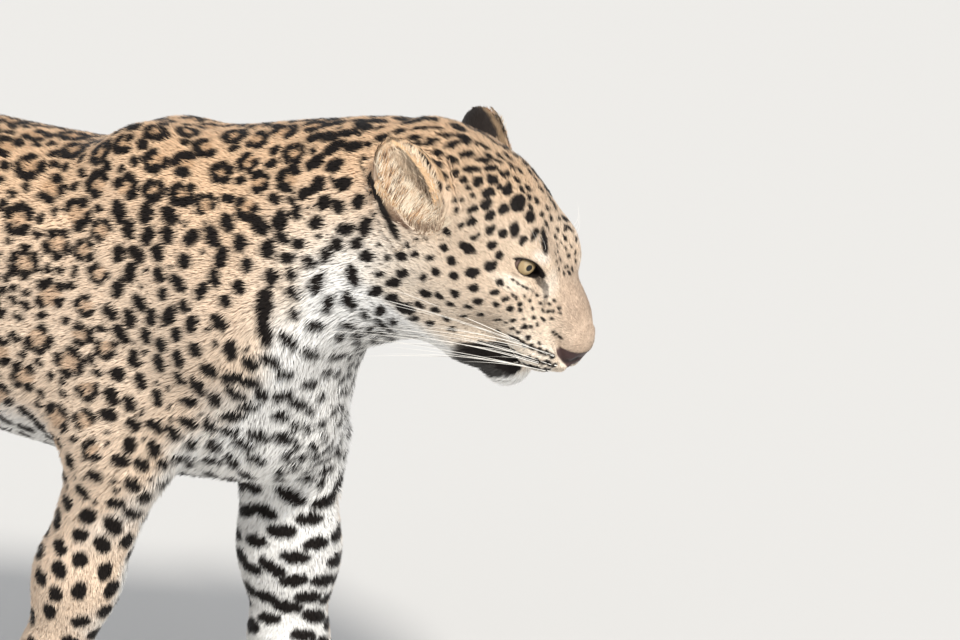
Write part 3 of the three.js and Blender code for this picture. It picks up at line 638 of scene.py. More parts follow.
# ---- Markings ----
def rgb(*c):
    c = np.array(c, float) / 255
    return np.where(c <= 0.04045, c / 12.92, ((c + 0.055) / 1.055) ** 2.4)


BACK, FLANK, FACE_TAN, CREAM, WHITE = rgb(218, 183, 147), rgb(227, 204, 180), rgb(205, 184, 161), rgb(228, 216, 200), rgb(240, 238, 234)
BLACK, ROSETTE, LEATHER, EAR_PALE, EAR_BLACK = rgb(22, 16, 13), rgb(178, 136, 96), rgb(58, 42, 41), rgb(206, 192, 170), rgb(38, 31, 27)

# Spots of the right side of the face, in the head's frame: place, long and short half width, direction.
FACE_SPOTS = [
    [-123, -29, 98, 7.6, 5.7, -0.2, 0.8, 0.5],
    [-138, -31, 104, 5.7, 3.8, -0.2, 0.8, 0.5],
    [-107, -25, 91, 5.7, 4.8, -0.2, 0.9, 0.4],
    [-109, -45, 81, 7.6, 3.8, -0.6, 0.5, 0.7],
    [-115, -53, 74, 4.8, 3.8, -0.1, 0.5, 0.8],
    [-126, -58, 72, 4.8, 3.8, 0.1, 0.6, 0.8],
    [-97, -45, 76, 4.8, 3.8, -0.2, 0.7, 0.6],
    [-93, -32, 82, 7.6, 3.0, -0.3, 0.9, 0.4],
    [-84, -24, 79, 13.3, 4.0, -0.7, 0.6, 0.4],
    [-128, -44, 91, 4.8, 3.8, 0.0, 0.8, 0.6],
    [-134, -54, 82, 4.8, 3.8, 0.1, 0.6, 0.8],
    [-149, -46, 97, 4.8, 3.8, 0.1, 0.7, 0.7],
    [-143, -52, 89, 4.8, 3.8, 0.2, 0.7, 0.7],
    [-151, -60, 79, 4.8, 2.8, 0.4, 0.5, 0.8],
    [-145, -64, 69, 4.8, 3.8, 0.4, 0.4, 0.8],
    [-134, -66, 60, 4.8, 2.8, 0.4, 0.4, 0.8],
    [-117, -60, 60, 4.8, 3.8, 0.4, 0.5, 0.8],
    [-106, -59, 55, 4.8, 3.8, 0.4, 0.4, 0.8],
    [-135, -70, 47, 8.5, 4.8, 1.0, 0.1, -0.0],
    [-160, -72, 49, 4.8, 3.8, 1.0, 0.0, 0.1],
    [-155, -75, 36, 4.8, 3.8, 1.0, -0.0, 0.1],
    [-141, -78, 31, 5.7, 3.8, 1.0, -0.0, -0.1],
    [-107, -64, 44, 6.6, 4.8, 0.5, 0.6, 0.6],
    [-117, -75, 32, 6.6, 4.8, 0.9, 0.4, 0.3],
    [-130, -82, 21, 4.8, 3.8, 1.0, 0.1, 0.0],
    [-147, -86, 15, 4.8, 3.8, 1.0, 0.1, 0.1],
    [-91, -63, 35, 4.8, 3.8, 0.7, 0.7, 0.2],
    [-108, -77, 21, 4.8, 3.8, 0.8, 0.4, 0.5],
    [-90, -69, 26, 4.8, 2.8, 0.7, 0.6, 0.3],
    [-79, -63, 24, 3.8, 2.8, 0.7, 0.6, 0.3],
    [-120, -82, 6, 5.7, 3.8, 0.9, 0.3, 0.3],
    [-98, -76, 11, 4.8, 3.8, 0.8, 0.3, 0.5],
    [-83, -68, 15, 3.8, 2.8, 0.7, 0.6, 0.4],
    [-72, -59, 16, 3.3, 3.3, 0.7, 0.7, 0.3],
    [-67, -52, 22, 2.8, 2.8, 0.5, 0.8, 0.1],
    [-65, -50, 17, 2.8, 2.5, 0.6, 0.8, 0.2],
    [-120, -81, -7, 4.8, 2.8, 0.9, 0.3, 0.3],
    [-104, -76, 0, 4.8, 2.8, 0.8, 0.2, 0.5],
    [-92, -68, -4, 3.8, 2.8, 0.8, 0.3, 0.5],
    [-78, -57, -4, 3.8, 2.8, 0.8, 0.3, 0.5],
    [-105, -71, -14, 3.8, 2.8, 0.8, 0.3, 0.5],
    [-55, -46, 2, 3.4, 1.9, 0.8, 0.4, 0.4],
    [-48, -45, -5, 3.4, 2.7, 0.9, 0.3, 0.1],
    [-48, -46, -13, 3.4, 2.5, 1.0, 0.2, 0.0],
    [-40, -44, -12, 3.4, 2.5, 0.9, 0.3, -0.1],
    [-66, -52, 3, 2.7, 2.1, 0.8, 0.4, 0.4],
    [-76, -46, -19, 2.8, 1.9, 0.9, -0.1, 0.4],
    [-38, -44, -24, 3.4, 2.1, 0.9, 0.1, 0.3],
    [-48, -43, -27, 2.8, 2.1, 1.0, -0.0, 0.1],
    [-271, -46, 82, 5.7, 3.8, 0.5, 0.7, 0.5],
    [-263, -33, 91, 4.8, 3.3, 0.7, 0.5, 0.5],
    [-245, -41, 97, 4.8, 3.2, 0.7, 0.4, 0.6],
    [-236, -46, 97, 3.8, 2.5, 0.5, 0.7, 0.6],
    [-227, -41, 102, 4.3, 2.5, 0.6, 0.6, 0.5],
    [-247, -25, 103, 6.6, 2.5, 0.7, 0.4, 0.5],
    [-222, -24, 111, 6.6, 2.8, 0.8, 0.5, 0.2],
    [-227, -36, 105, 4.8, 2.3, 0.8, 0.5, 0.4],
    [-235, -17, 110, 4.8, 2.3, 0.8, 0.5, 0.3],
    [-208, -14, 116, 6.6, 3.2, 1.0, -0.1, 0.2],
    [-209, -30, 110, 7.1, 3.2, 0.4, 0.8, 0.4],
    [-213, -45, 101, 4.4, 3.2, 1.0, 0.1, 0.1],
    [-191, -32, 111, 5.1, 3.4, 0.6, 0.7, 0.4],
    [-198, -44, 102, 5.3, 3.4, 1.0, 0.2, 0.2],
    [-175, -26, 114, 5.7, 2.7, 0.7, 0.7, 0.3],
    [-177, -41, 105, 7.1, 2.7, 0.8, 0.5, 0.4],
    [-164, -28, 112, 5.2, 3.0, 0.5, 0.8, 0.3],
    [-189, -52, 94, 4.8, 2.8, 0.6, 0.5, 0.6],
    [-176, -51, 95, 3.8, 2.5, 0.9, 0.3, 0.3],
    [-164, -46, 100, 4.2, 3.6, -0.2, 0.7, 0.7],
    [-155, -36, 107, 4.2, 4.0, -0.2, 0.8, 0.5],
    [-139, -29, 105, 4.8, 3.2, -0.4, 0.7, 0.5],
    [-148, -46, 96, 3.4, 3.0, 0.7, 0.6, 0.3],
    [-145, -35, 104, 2.3, 2.5, 0.6, 0.8, 0.2],
    [-139, -14, 110, 3.2, 2.5, 0.9, 0.1, -0.4],
    [-127, -7, 106, 3.8, 2.5, 0.9, 0.2, -0.4],
    [-149, -19, 112, 3.2, 2.3, -0.5, 0.8, 0.4],
    [-115, -7, 100, 3.2, 2.5, 0.9, 0.0, -0.5],
    [-103, -10, 92, 2.5, 1.7, -0.5, 0.8, 0.4],
    [-159, -55, 89, 2.5, 2.1, 0.8, 0.4, 0.4],
    [-167, -53, 92, 2.5, 1.9, 0.8, 0.4, 0.5],
    [-181, -62, 84, 1.9, 1.9, 0.6, 0.8, 0.2],
    [-160, -82, 22, 4.6, 3.0, 0.7, 0.3, 0.6],
    [-174, -85, 16, 4.0, 3.4, 0.8, 0.2, 0.5],
    [-183, -86, 19, 3.4, 2.7, 0.3, 0.3, 0.9],
    [-179, -83, 29, 1.9, 1.9, 0.8, 0.4, 0.5],
    [-172, -79, 34, 2.1, 1.9, 0.8, 0.5, 0.4],
    [-155, -88, 3, 4.8, 3.2, 0.6, 0.1, 0.8],
    [-175, -89, -8, 4.6, 3.4, 0.8, 0.1, 0.6],
    [-193, -92, -21, 3.6, 2.7, 0.8, 0.2, 0.5],
    [-194, -91, -3, 2.8, 2.5, 0.8, 0.2, 0.5],
    [-210, -91, 19, 1.9, 3.0, 0.8, 0.1, 0.6],
    [-207, -92, 5, 2.5, 2.1, 0.8, 0.2, 0.5],
    [-189, -90, -40, 5.7, 3.8, 0.7, 0.1, 0.7],
    [-178, -89, -21, 5.7, 3.4, 0.8, 0.1, 0.6],
    [-146, -86, -11, 6.6, 4.4, 0.9, 0.0, 0.4],
    [-133, -85, -5, 4.4, 3.2, 1.0, 0.2, 0.2],
    [-157, -84, -38, 7.1, 4.4, 0.9, 0.1, 0.3],
    [-146, -84, -26, 5.7, 3.4, 1.0, 0.2, 0.2],
    [-167, -7, 118, 4.8, 1.9, 1.0, -0.2, -0.1],
    [-163, 3, 117, 4.4, 1.7, 1.0, -0.3, -0.1],
    [-152, -6, 115, 3.8, 2.3, 1.0, -0.0, -0.3],
    [-144, -1, 113, 3.4, 1.7, 0.9, 0.2, -0.4],
    [-175, 15, 117, 4.2, 1.9, 1.0, -0.3, -0.0],
    [-163, 18, 116, 4.2, 1.7, 0.9, -0.4, 0.0],
    [-202, 20, 115, 4.8, 2.3, 1.0, -0.2, 0.2],
    [-212, 16, 114, 4.8, 2.1, 1.0, -0.1, 0.3],
    [-193, 12, 118, 3.8, 1.7, 1.0, -0.2, 0.0],
    [-184, 10, 118, 3.8, 1.7, 1.0, -0.1, -0.0],
    [-153, 25, 112, 3.4, 1.5, 1.0, -0.0, -0.3],
    [-141, 14, 111, 3.4, 1.7, 0.9, 0.0, -0.4],
    [-131, 15, 106, 3.2, 1.7, 0.9, 0.0, -0.4],
    [-122, 13, 103, 3.2, 1.7, 0.9, 0.1, -0.4],
    [-113, 19, 96, 3.8, 1.7, 0.9, 0.1, -0.5],
    [-104, 20, 91, 3.2, 1.5, 0.9, 0.1, -0.5],
    [-105, 3, 94, 2.8, 1.5, 0.8, 0.2, -0.6],
    [-97, 2, 88, 3.0, 1.5, 0.7, 0.1, -0.7],
    [-94, 18, 85, 2.8, 1.4, 0.8, 0.2, -0.6],
    [-85, 20, 79, 2.8, 1.4, 0.9, 0.1, -0.5],
    [-87, 7, 80, 2.8, 1.4, 0.8, -0.0, -0.6],
    [-162, -65, 71, 2.3, 1.9, 0.8, 0.2, 0.5],
    [-150, -68, 61, 2.5, 2.1, 0.8, 0.3, 0.5],
    [-131, -81, -22, 4.8, 3.2, 0.8, 0.1, 0.6],
    [-118, -75, -25, 4.4, 2.8, 0.9, 0.4, 0.2],
    [-130, -77, -38, 4.8, 3.0, 0.7, 0.1, 0.7],
    [-110, -69, -34, 4.4, 2.8, 0.8, 0.4, 0.4],
    [-173, -87, -37, 5.7, 3.4, 0.8, 0.0, 0.6],
    [-145, -80, -43, 5.7, 3.4, 0.8, 0.1, 0.6],
    [-169, -63, 77, 2.3, 1.9, 0.6, 0.4, 0.7],
    [-165, -60, 81, 1.9, 1.7, 0.8, 0.3, 0.5],
]
FACE_DOTS = [
    [-86, -49, 38],
    [-81, -46, 36],
    [-76, -44, 36],
    [-72, -42, 36],
    [-67, -41, 36],
    [-83, -58, 33],
    [-76, -57, 29],
    [-72, -55, 28],
    [-68, -48, 30],
    [-63, -43, 27],
    [-58, -41, 21],
    [-50, -34, 22],
    [-55, -35, 27],
    [-53, -40, 14],
    [-59, -46, 9],
    [-46, -35, 15],
    [-46, -31, 23],
    [-43, -29, 24],
    [-49, -30, 29],
    [-47, -26, 34],
    [-40, -25, 30],
    [-37, -25, 26],
    [-40, -30, 18],
    [-71, -53, -2],
    [-51, -43, 5],
    [-47, -39, 9],
    [-64, -49, -6],
    [-58, -48, -5],
    [-36, -40, -5],
    [-66, -9, 63],
    [-66, 7, 64],
    [-60, -2, 57],
    [-60, -17, 59],
    [-55, -1, 53],
    [-57, 9, 55],
    [-56, -8, 54],
    [-77, 4, 72],
    [-72, 7, 69],
    [-83, 1, 76],
    [-65, -19, 65],
    [-71, 15, 70],
    [-65, 18, 64],
    [-55, -31, 34],
    [-61, -38, 33],
]
WHISKER_DOTS = [
    [-61, -47, -15],
    [-55, -47, -13],
    [-32, -41, -11],
    [-27, -37, -11],
    [-22, -33, -12],
    [-55, -41, -29],
    [-30, -42, -22],
    [-24, -38, -20],
    [-20, -35, -20],
    [-17, -29, -21],
    [-63, -30, -45],
    [-54, -21, -47],
    [-39, -38, -35],
    [-32, -39, -32],
    [-27, -38, -30],
    [-22, -35, -29],
    [-19, -30, -29],
    [-33, -29, 7],
    [-30, -27, 5],
    [-26, -24, 4],
]
# Marks of the neck, throat and chest, in the body's frame: two ends and a half width.
BARS = [
    ((210, -62, 641), (226, -76, 628), 6), ((226, -77, 627), (240, -91, 606), 7.5), ((241, -91, 606), (250, -90, 588), 6.5), ((250, -89, 588), (258, -86, 570), 5),
    ((137, -116, 512), (134, -118, 490), 9), ((134, -118, 490), (138, -116, 462), 7.5), ((138, -107, 531), (139, -108, 521), 7),
    ((151, -109, 468), (161, -98, 455), 6.5), ((166, -88, 449), (174, -74, 441), 6), ((182, -58, 437), (190, -40, 434), 5.5),
]


def mix(a, b, t):
    t = np.asarray(t)[:, None]
    return a * (1 - t) + b * t


def pale_share(P, N):
    """How white the ground of the coat is: belly, chest, throat, inner legs and underside of the tail."""
    x, y, z = P.T
    belly = step01(-N[:, 2], 0.25, 0.75) * step01(-z, -470, -430)
    edge = 58 + np.clip(z - 355, -140, 46) * 1.09 + np.clip(z - 401, 0, 220) * 0.45
    chest = step01(x - edge + 8 * noise(P, 60, 3), -14, 22) * (1 - step01(z, 505, 590)) * (z > 180)
    inner = -np.sign(y) * N[:, 1]
    chest = chest * (1 - leg_share(P) * step01(-inner, -0.25, 0.35))
    legs = leg_share(P) * step01(inner + 0.25 * N[:, 0], -0.35, 0.35)
    front = leg_share(P) * step01(N[:, 0], 0.3, 0.9) * step01(inner, -0.5, 0.1) * (x > -200) * 0.7
    d, along, run = tail_place(P)
    tail = (d < 1.3) * (x < -700) * step01(-N[:, 2] + 0.4 * (along > run * 0.72), 0.1, 0.7)
    return np.clip(np.maximum.reduce([belly, chest, legs, front, tail]), 0, 1)


def ground(P, N):
    """The coat's colour without its marks."""
    x, y, z = P.T
    up = step01(N[:, 2], -0.5, 0.85)
    c = mix(FLANK, BACK, up * step01(z, 430, 620))
    low = leg_share(P)
    c = mix(c, FLANK * 1.02, low)
    neck = step01(x, 90, 190) * (1 - step01(z, 530, 630))
    c = mix(c, CREAM, neck * 0.85)
    c = mix(c, WHITE, pale_share(P, N))
    c = c * (1 + 0.05 * noise(P, 90, 1) + 0.05 * noise(P, 17, 2))[:, None]
    h, Q = head_share(P)
    A = Q.copy()
    A[:, 1] = -np.abs(A[:, 1])
    f = np.tile(FACE_TAN, (len(P), 1))
    f = mix(f, CREAM, 0.55 * step01(-Q[:, 2], -40, 25))
    f = mix(f, CREAM, 0.65 * step01(-Q[:, 0], 130, 200) * step01(-Q[:, 2], -60, 0))
    f = mix(f, rgb(202, 170, 136), 0.8 * step01(Q[:, 2] - 0.25 * Q[:, 0], 100, 150))
    # white lips, chin and throat, and pale patches round the eye
    f = mix(f, WHITE, step01(-Q[:, 2] - 0.12 * Q[:, 0], 52, 72))
    pad = near_line(A, [(-22, -30, -32), (-45, -40, -34), (-66, -46, -30)])[0]
    f = mix(f, WHITE, 0.85 * (1 - step01(pad, 3, 11)))
    f = mix(f, WHITE, 0.35 * (1 - step01(np.linalg.norm((A - [-70, -40, 70]) / [12, 12, 7], axis=1), 0.5, 1.4)))
    f = mix(f, CREAM, 0.7 * (1 - step01(np.linalg.norm((A - [-84, -54, 36]) / [22, 14, 6], axis=1), 0.5, 1.6)))
    f = mix(f, CREAM, 0.75 * (1 - step01(np.linalg.norm((A - [-57, -27, 48]) / [9, 8, 16], axis=1), 0.5, 1.6)))
    f = mix(f, rgb(176, 154, 134), 0.9 * (1 - step01(np.abs(Q[:, 1]), 16, 34)) * step01(Q[:, 0], -84, -36) * step01(Q[:, 2], -14, -2))
    f = f * (1 + 0.075 * noise(P, 3.6, 6) * step01(Q[:, 0], -130, -60))[:, None]
    c = mix(c, f, h)
    return np.clip(c, 0.004, 0.97)


def bins(P, size):
    key = np.floor(P / size).astype(np.int64) + 512
    code = (key[:, 0] << 22) | (key[:, 1] << 11) | key[:, 2]
    order = np.argsort(code, kind="stable")
    s = code[order]
    starts = np.nonzero(np.r_[True, s[1:] != s[:-1]])[0]
    ends = np.r_[starts[1:], len(s)]
    return {int(s[a]): order[a:b] for a, b in zip(starts, ends)}


def near_bins(table, c, size, reach):
    lo = np.floor((c - reach) / size).astype(int) + 512
    hi = np.floor((c + reach) / size).astype(int) + 512
    found = []
    for i in range(lo[0], hi[0] + 1):
        for j in range(lo[1], hi[1] + 1):
            for k in range(lo[2], hi[2] + 1):
                got = table.get((i << 22) | (j << 11) | k)
                if got is not None:
                    found.append(got)
    return np.concatenate(found) if found else np.zeros(0, int)


def lie(P, N):
    """The way the hair points, along the skin."""
    x, y, z = P.T
    D = np.stack([-np.ones(len(P)), 0 * y, -0.30 + 0 * z], 1)
    low = step01(-z, -470, -330)[:, None]
    D = D * (1 - 0.5 * low) + np.array([-0.35, 0, -0.8]) * low * 0.5
    front = (step01(x, 60, 130) * (1 - step01(z, 430, 520)))[:, None]
    D = D * (1 - front) + np.array([-0.12, 0, -1.0]) * front
    leg = leg_share(P)[:, None]
    D = D * (1 - leg) + np.array([-0.15, 0, -1.0]) * leg
    foot = (1 - step01(z, 34, 74))[:, None]
    D = D * (1 - foot) + np.array([0.9, 0, -0.42]) * foot
    d, along, _ = tail_place(P)
    T = np.array([t[:3] for t in TAIL], float)
    seg = np.diff(T, axis=0)
    run = np.r_[0, np.cumsum(np.linalg.norm(seg, axis=1))]
    i = np.clip(np.searchsorted(run, along) - 1, 0, len(seg) - 1)
    tail = (step01(-d, -1.5, -1.25) * (x < -690) * step01(along, 10, 60))[:, None]
    D = D * (1 - tail) + unit(seg)[i] * tail
    h, Q = head_share(P)
    away = Q - np.array([-6, 0, 8.0])
    away[:, 2] -= 14 * step01(-Q[:, 2], -20, 30)
    A = unit(away)
    A[:, 0] -= 0.35
    A = A @ HEAD_R.T
    D = D * (1 - h[:, None]) + A * h[:, None]
    for s in (-1, 1):
        e = in_ear(Q, s)
        m = (ear_field(Q, s) < 4) & (e[:, 2] > 6) & (Q[:, 0] < -150)
        if m.any():
            inner = e[:, 1] > 4
            v = np.where(inner[:, None], np.array([-0.55, 0.25, 0.75]), np.array([0, 0, 1.0]))
            v[:, 0] *= -s
            D[m] = ((v @ EARS[s][1].T) @ HEAD_R.T)[m]
    D = D - N * (D * N).sum(1, keepdims=True)
    return unit(D)


def on_skin(P):
    P = np.atleast_2d(np.asarray(P, float)).copy()
    for _ in range(4):
        f, g = slope(skin_at, P)
        P = P - (f / np.maximum((g * g).sum(1), 0.1))[:, None] * g
    return P


def make_marks(V, N):
    """Every mark as (place, long way, long half width, short half width, strength), spread over the skin by loops."""
    r = np.random.default_rng(21)
    marks = []
    h, Q = head_share(V)
    L = lie(V, N)
    for row in FACE_SPOTS:
        c, a, b, u = np.array(row[:3], float), row[3], row[4], unit(row[5:8])
        for s in (1, -1):
            if abs(c[1]) < 9 and s < 0:
                continue
            cc = c * [1, s, 1] + (r.normal(size=3) * 1.5 if s < 0 else 0)
            k = 1.10 + 0.34 * min(max((c[2] - 0.25 * c[0] - 95) / 40, 0), 1) + (0.45 if c[0] < -150 and c[2] < 0 else 0)
            if s < 0 and c[0] > -112 and abs(c[1]) < 32 and c[2] > 50:
                k *= 0.5
            marks.append((from_head(cc), (u * [1, s, 1]) @ HEAD_R.T, a * k, max(b * k, min(3.0, a * k)), 1.0))
    for table, size in ((FACE_DOTS, 1.9), (WHISKER_DOTS[:-3], 3.2), (WHISKER_DOTS[-3:], 1.7)):
        for c in table:
            for s in (1, -1):
                marks.append((from_head(np.array(c, float) * [1, s, 1]), HEAD_R @ np.array([1.0, 0, 0]), size * 1.4, size, 1.0))
    for a, b, w in BARS:
        a, b = np.array(a, float), np.array(b, float)
        marks.append(((a + b) / 2, unit(b - a), np.linalg.norm(b - a) / 2 + w * 0.7, w, 1.0))
        marks.append(((a + b) / 2 * [1, -1, 1] + [4, 0, 3], unit((b - a) * [1, -1, 1]), np.linalg.norm(b - a) / 2 + w * 0.7, w, 1.0))
    spot = on_skin(np.array([m[0] for m in marks]))
    marks = [(c, *m[1:]) for c, m in zip(spot, marks)]
    # random spread, larger spacing for rosettes
    x, y, z = V.T
    d, along, run = tail_place(V)
    tail = (d < 1.35) & (x < -700) & (along > 30)
    leg = leg_share(V)
    pale = pale_share(V, N)
    rosette = (1 - step01(x, -60, 10)) * step01(z, 300, 350) * (1 - pale) * (~tail)
    shoulder = step01(x, -60, 10) * (1 - step01(x, 130, 190)) * step01(z, 540, 600)
    rosette = np.maximum(rosette, shoulder * 0.8)
    crown = h * step01(Q[:, 2] - 0.25 * Q[:, 0], 105, 145)
    order = r.permutation(len(V))
    cell = 34.0
    seen = {}
    for m in marks:
        seen.setdefault(tuple(np.floor(m[0] / cell).astype(int)), []).append((m[0], (m[2] + 4.0) * 0.8))

    def free(p, rad):
        k = np.floor(p / cell).astype(int)
        for a in (-1, 0, 1):
            for b in (-1, 0, 1):
                for c in (-1, 0, 1):
                    for q, qr in seen.get((k[0] + a, k[1] + b, k[2] + c), ()):
                        if (p[0] - q[0]) ** 2 + (p[1] - q[1]) ** 2 + (p[2] - q[2]) ** 2 < (rad + qr) ** 2:
                            return False
        seen.setdefault(tuple(k), []).append((p, rad))
        return True

    for turn_no in (0, 1):  # the large marks first, then small ones in what is left
        for i in order[:60000]:
            p = V[i]
            on_head = h[i] > 0.5
            brow = on_head and -150 < Q[i, 0] < -68 and abs(Q[i, 1]) < 34 and Q[i, 2] > 62
            if z[i] < 14 or (h[i] > 0.3 and Q[i, 0] > -165 and crown[i] < 0.25 and not brow):
                continue
            if on_head and Q[i, 0] > -70:
                continue
            grow = (0.98 if x[i] < -60 else 1.03) + (0 if on_head else (0.17 if x[i] < -60 else 0.21) * min(max((z[i] - 520) / 80, 0), 1))
            nape = x[i] > 40 and z[i] > 600 and not on_head
            stretch, size, toward = (1.05, 1.45), (0.37, 0.45), 0.0
            if turn_no == 1:
                if tail[i] or leg[i] > 0.4 or pale[i] > 0.4 or on_head:
                    continue
                gap, size = (12.0, (0.34, 0.44)) if rosette[i] > 0.5 else (10.5, (0.24, 0.32))
                if x[i] > 40 and r.random() < 0.5:
                    continue
            elif rosette[i] > 0.5:
                gap = 31.0 if x[i] < -60 else 25.0
            elif tail[i]:
                gap = 26.0
            elif z[i] < 78:
                gap, size, stretch = 15.0, (0.26, 0.33), (1.05, 1.4)
            elif leg[i] > 0.5:
                gap = 21.0
            elif brow:
                gap, size, stretch, toward = (7.6 if Q[i, 0] > -110 else 10.0), (0.32, 0.40), (1.3, 1.9), 1.0
            elif crown[i] > 0.25:
                gap, size, stretch, toward = 12.0, (0.44, 0.52), (1.2, 1.7), 1.0
            elif on_head:
                gap, size = 13.5, (0.34, 0.42)
            elif pale[i] > 0.5:
                gap, size = 19.0, (0.34, 0.42)
            elif nape:
                gap, size, stretch, toward = 14.5, (0.40, 0.46), (1.3, 1.7), 1.0
            elif x[i] > 140:
                gap, size, stretch = 15.0, (0.36, 0.42), (1.1, 1.5)
            else:
                gap, size, stretch, toward = 18.0, (0.37, 0.44), (1.1, 1.55), -1.0
            if not free(p, gap / 2):
                continue
            u = L[i]
            w = np.cross(N[i], u)
            if turn_no == 0 and rosette[i] > 0.5:
                R = gap * 0.365 * r.uniform(0.9, 1.08)
                n = r.integers(4, 7)
                t0 = r.uniform(0, 6.28)
                skip = r.integers(0, n + 3)
                for j in range(n):
                    if j == skip:
                        continue
                    t = t0 + j * 6.283 / n + r.normal() * 0.12
                    c = p + R * (math.cos(t) * u + math.sin(t) * w) * r.uniform(0.9, 1.08)
                    ring = -math.sin(t) * u + math.cos(t) * w
                    share = 4.6 / n
                    marks.append((c, ring, R * r.uniform(0.62, 0.82) * share * grow, R * r.uniform(0.42, 0.52) * grow, 1.0))
                marks.append((p, u, R * 0.95, R * 0.9, -0.5))
            elif tail[i]:
                marks.append((p, w, gap * 0.42, gap * 0.26, 1.0))
            else:
                s = gap * r.uniform(*size) * grow
                e = r.uniform(*stretch)
                if pale[i] > 0.5 and leg[i] < 0.5:
                    marks.append((p, unit(w + 0.5 * r.normal() * u), s * 1.6, s * 0.9, 1.0))
                elif leg[i] > 0.5 and pale[i] > 0.4:
                    marks.append((p, unit(w + 0.2 * r.normal() * u), s * 1.8, s * 0.82, 1.0))
                else:
                    if toward > 0:
                        long_way = u + 0.4 * r.normal() * w
                    elif toward < 0:
                        long_way = w + 0.6 * r.normal() * u
                    else:
                        t = r.uniform(0, 3.14)
                        long_way = math.cos(t) * u + math.sin(t) * w
                    marks.append((p, unit(long_way), s * e, s * 0.94, 1.0))
    return marks


def m_side(A):
    """How far a point lies under the line of the mouth."""
    line = np.array(MOUTH, float)[::-1]
    return np.interp(A[:, 0], line[:, 0], line[:, 2]) - A[:, 2]


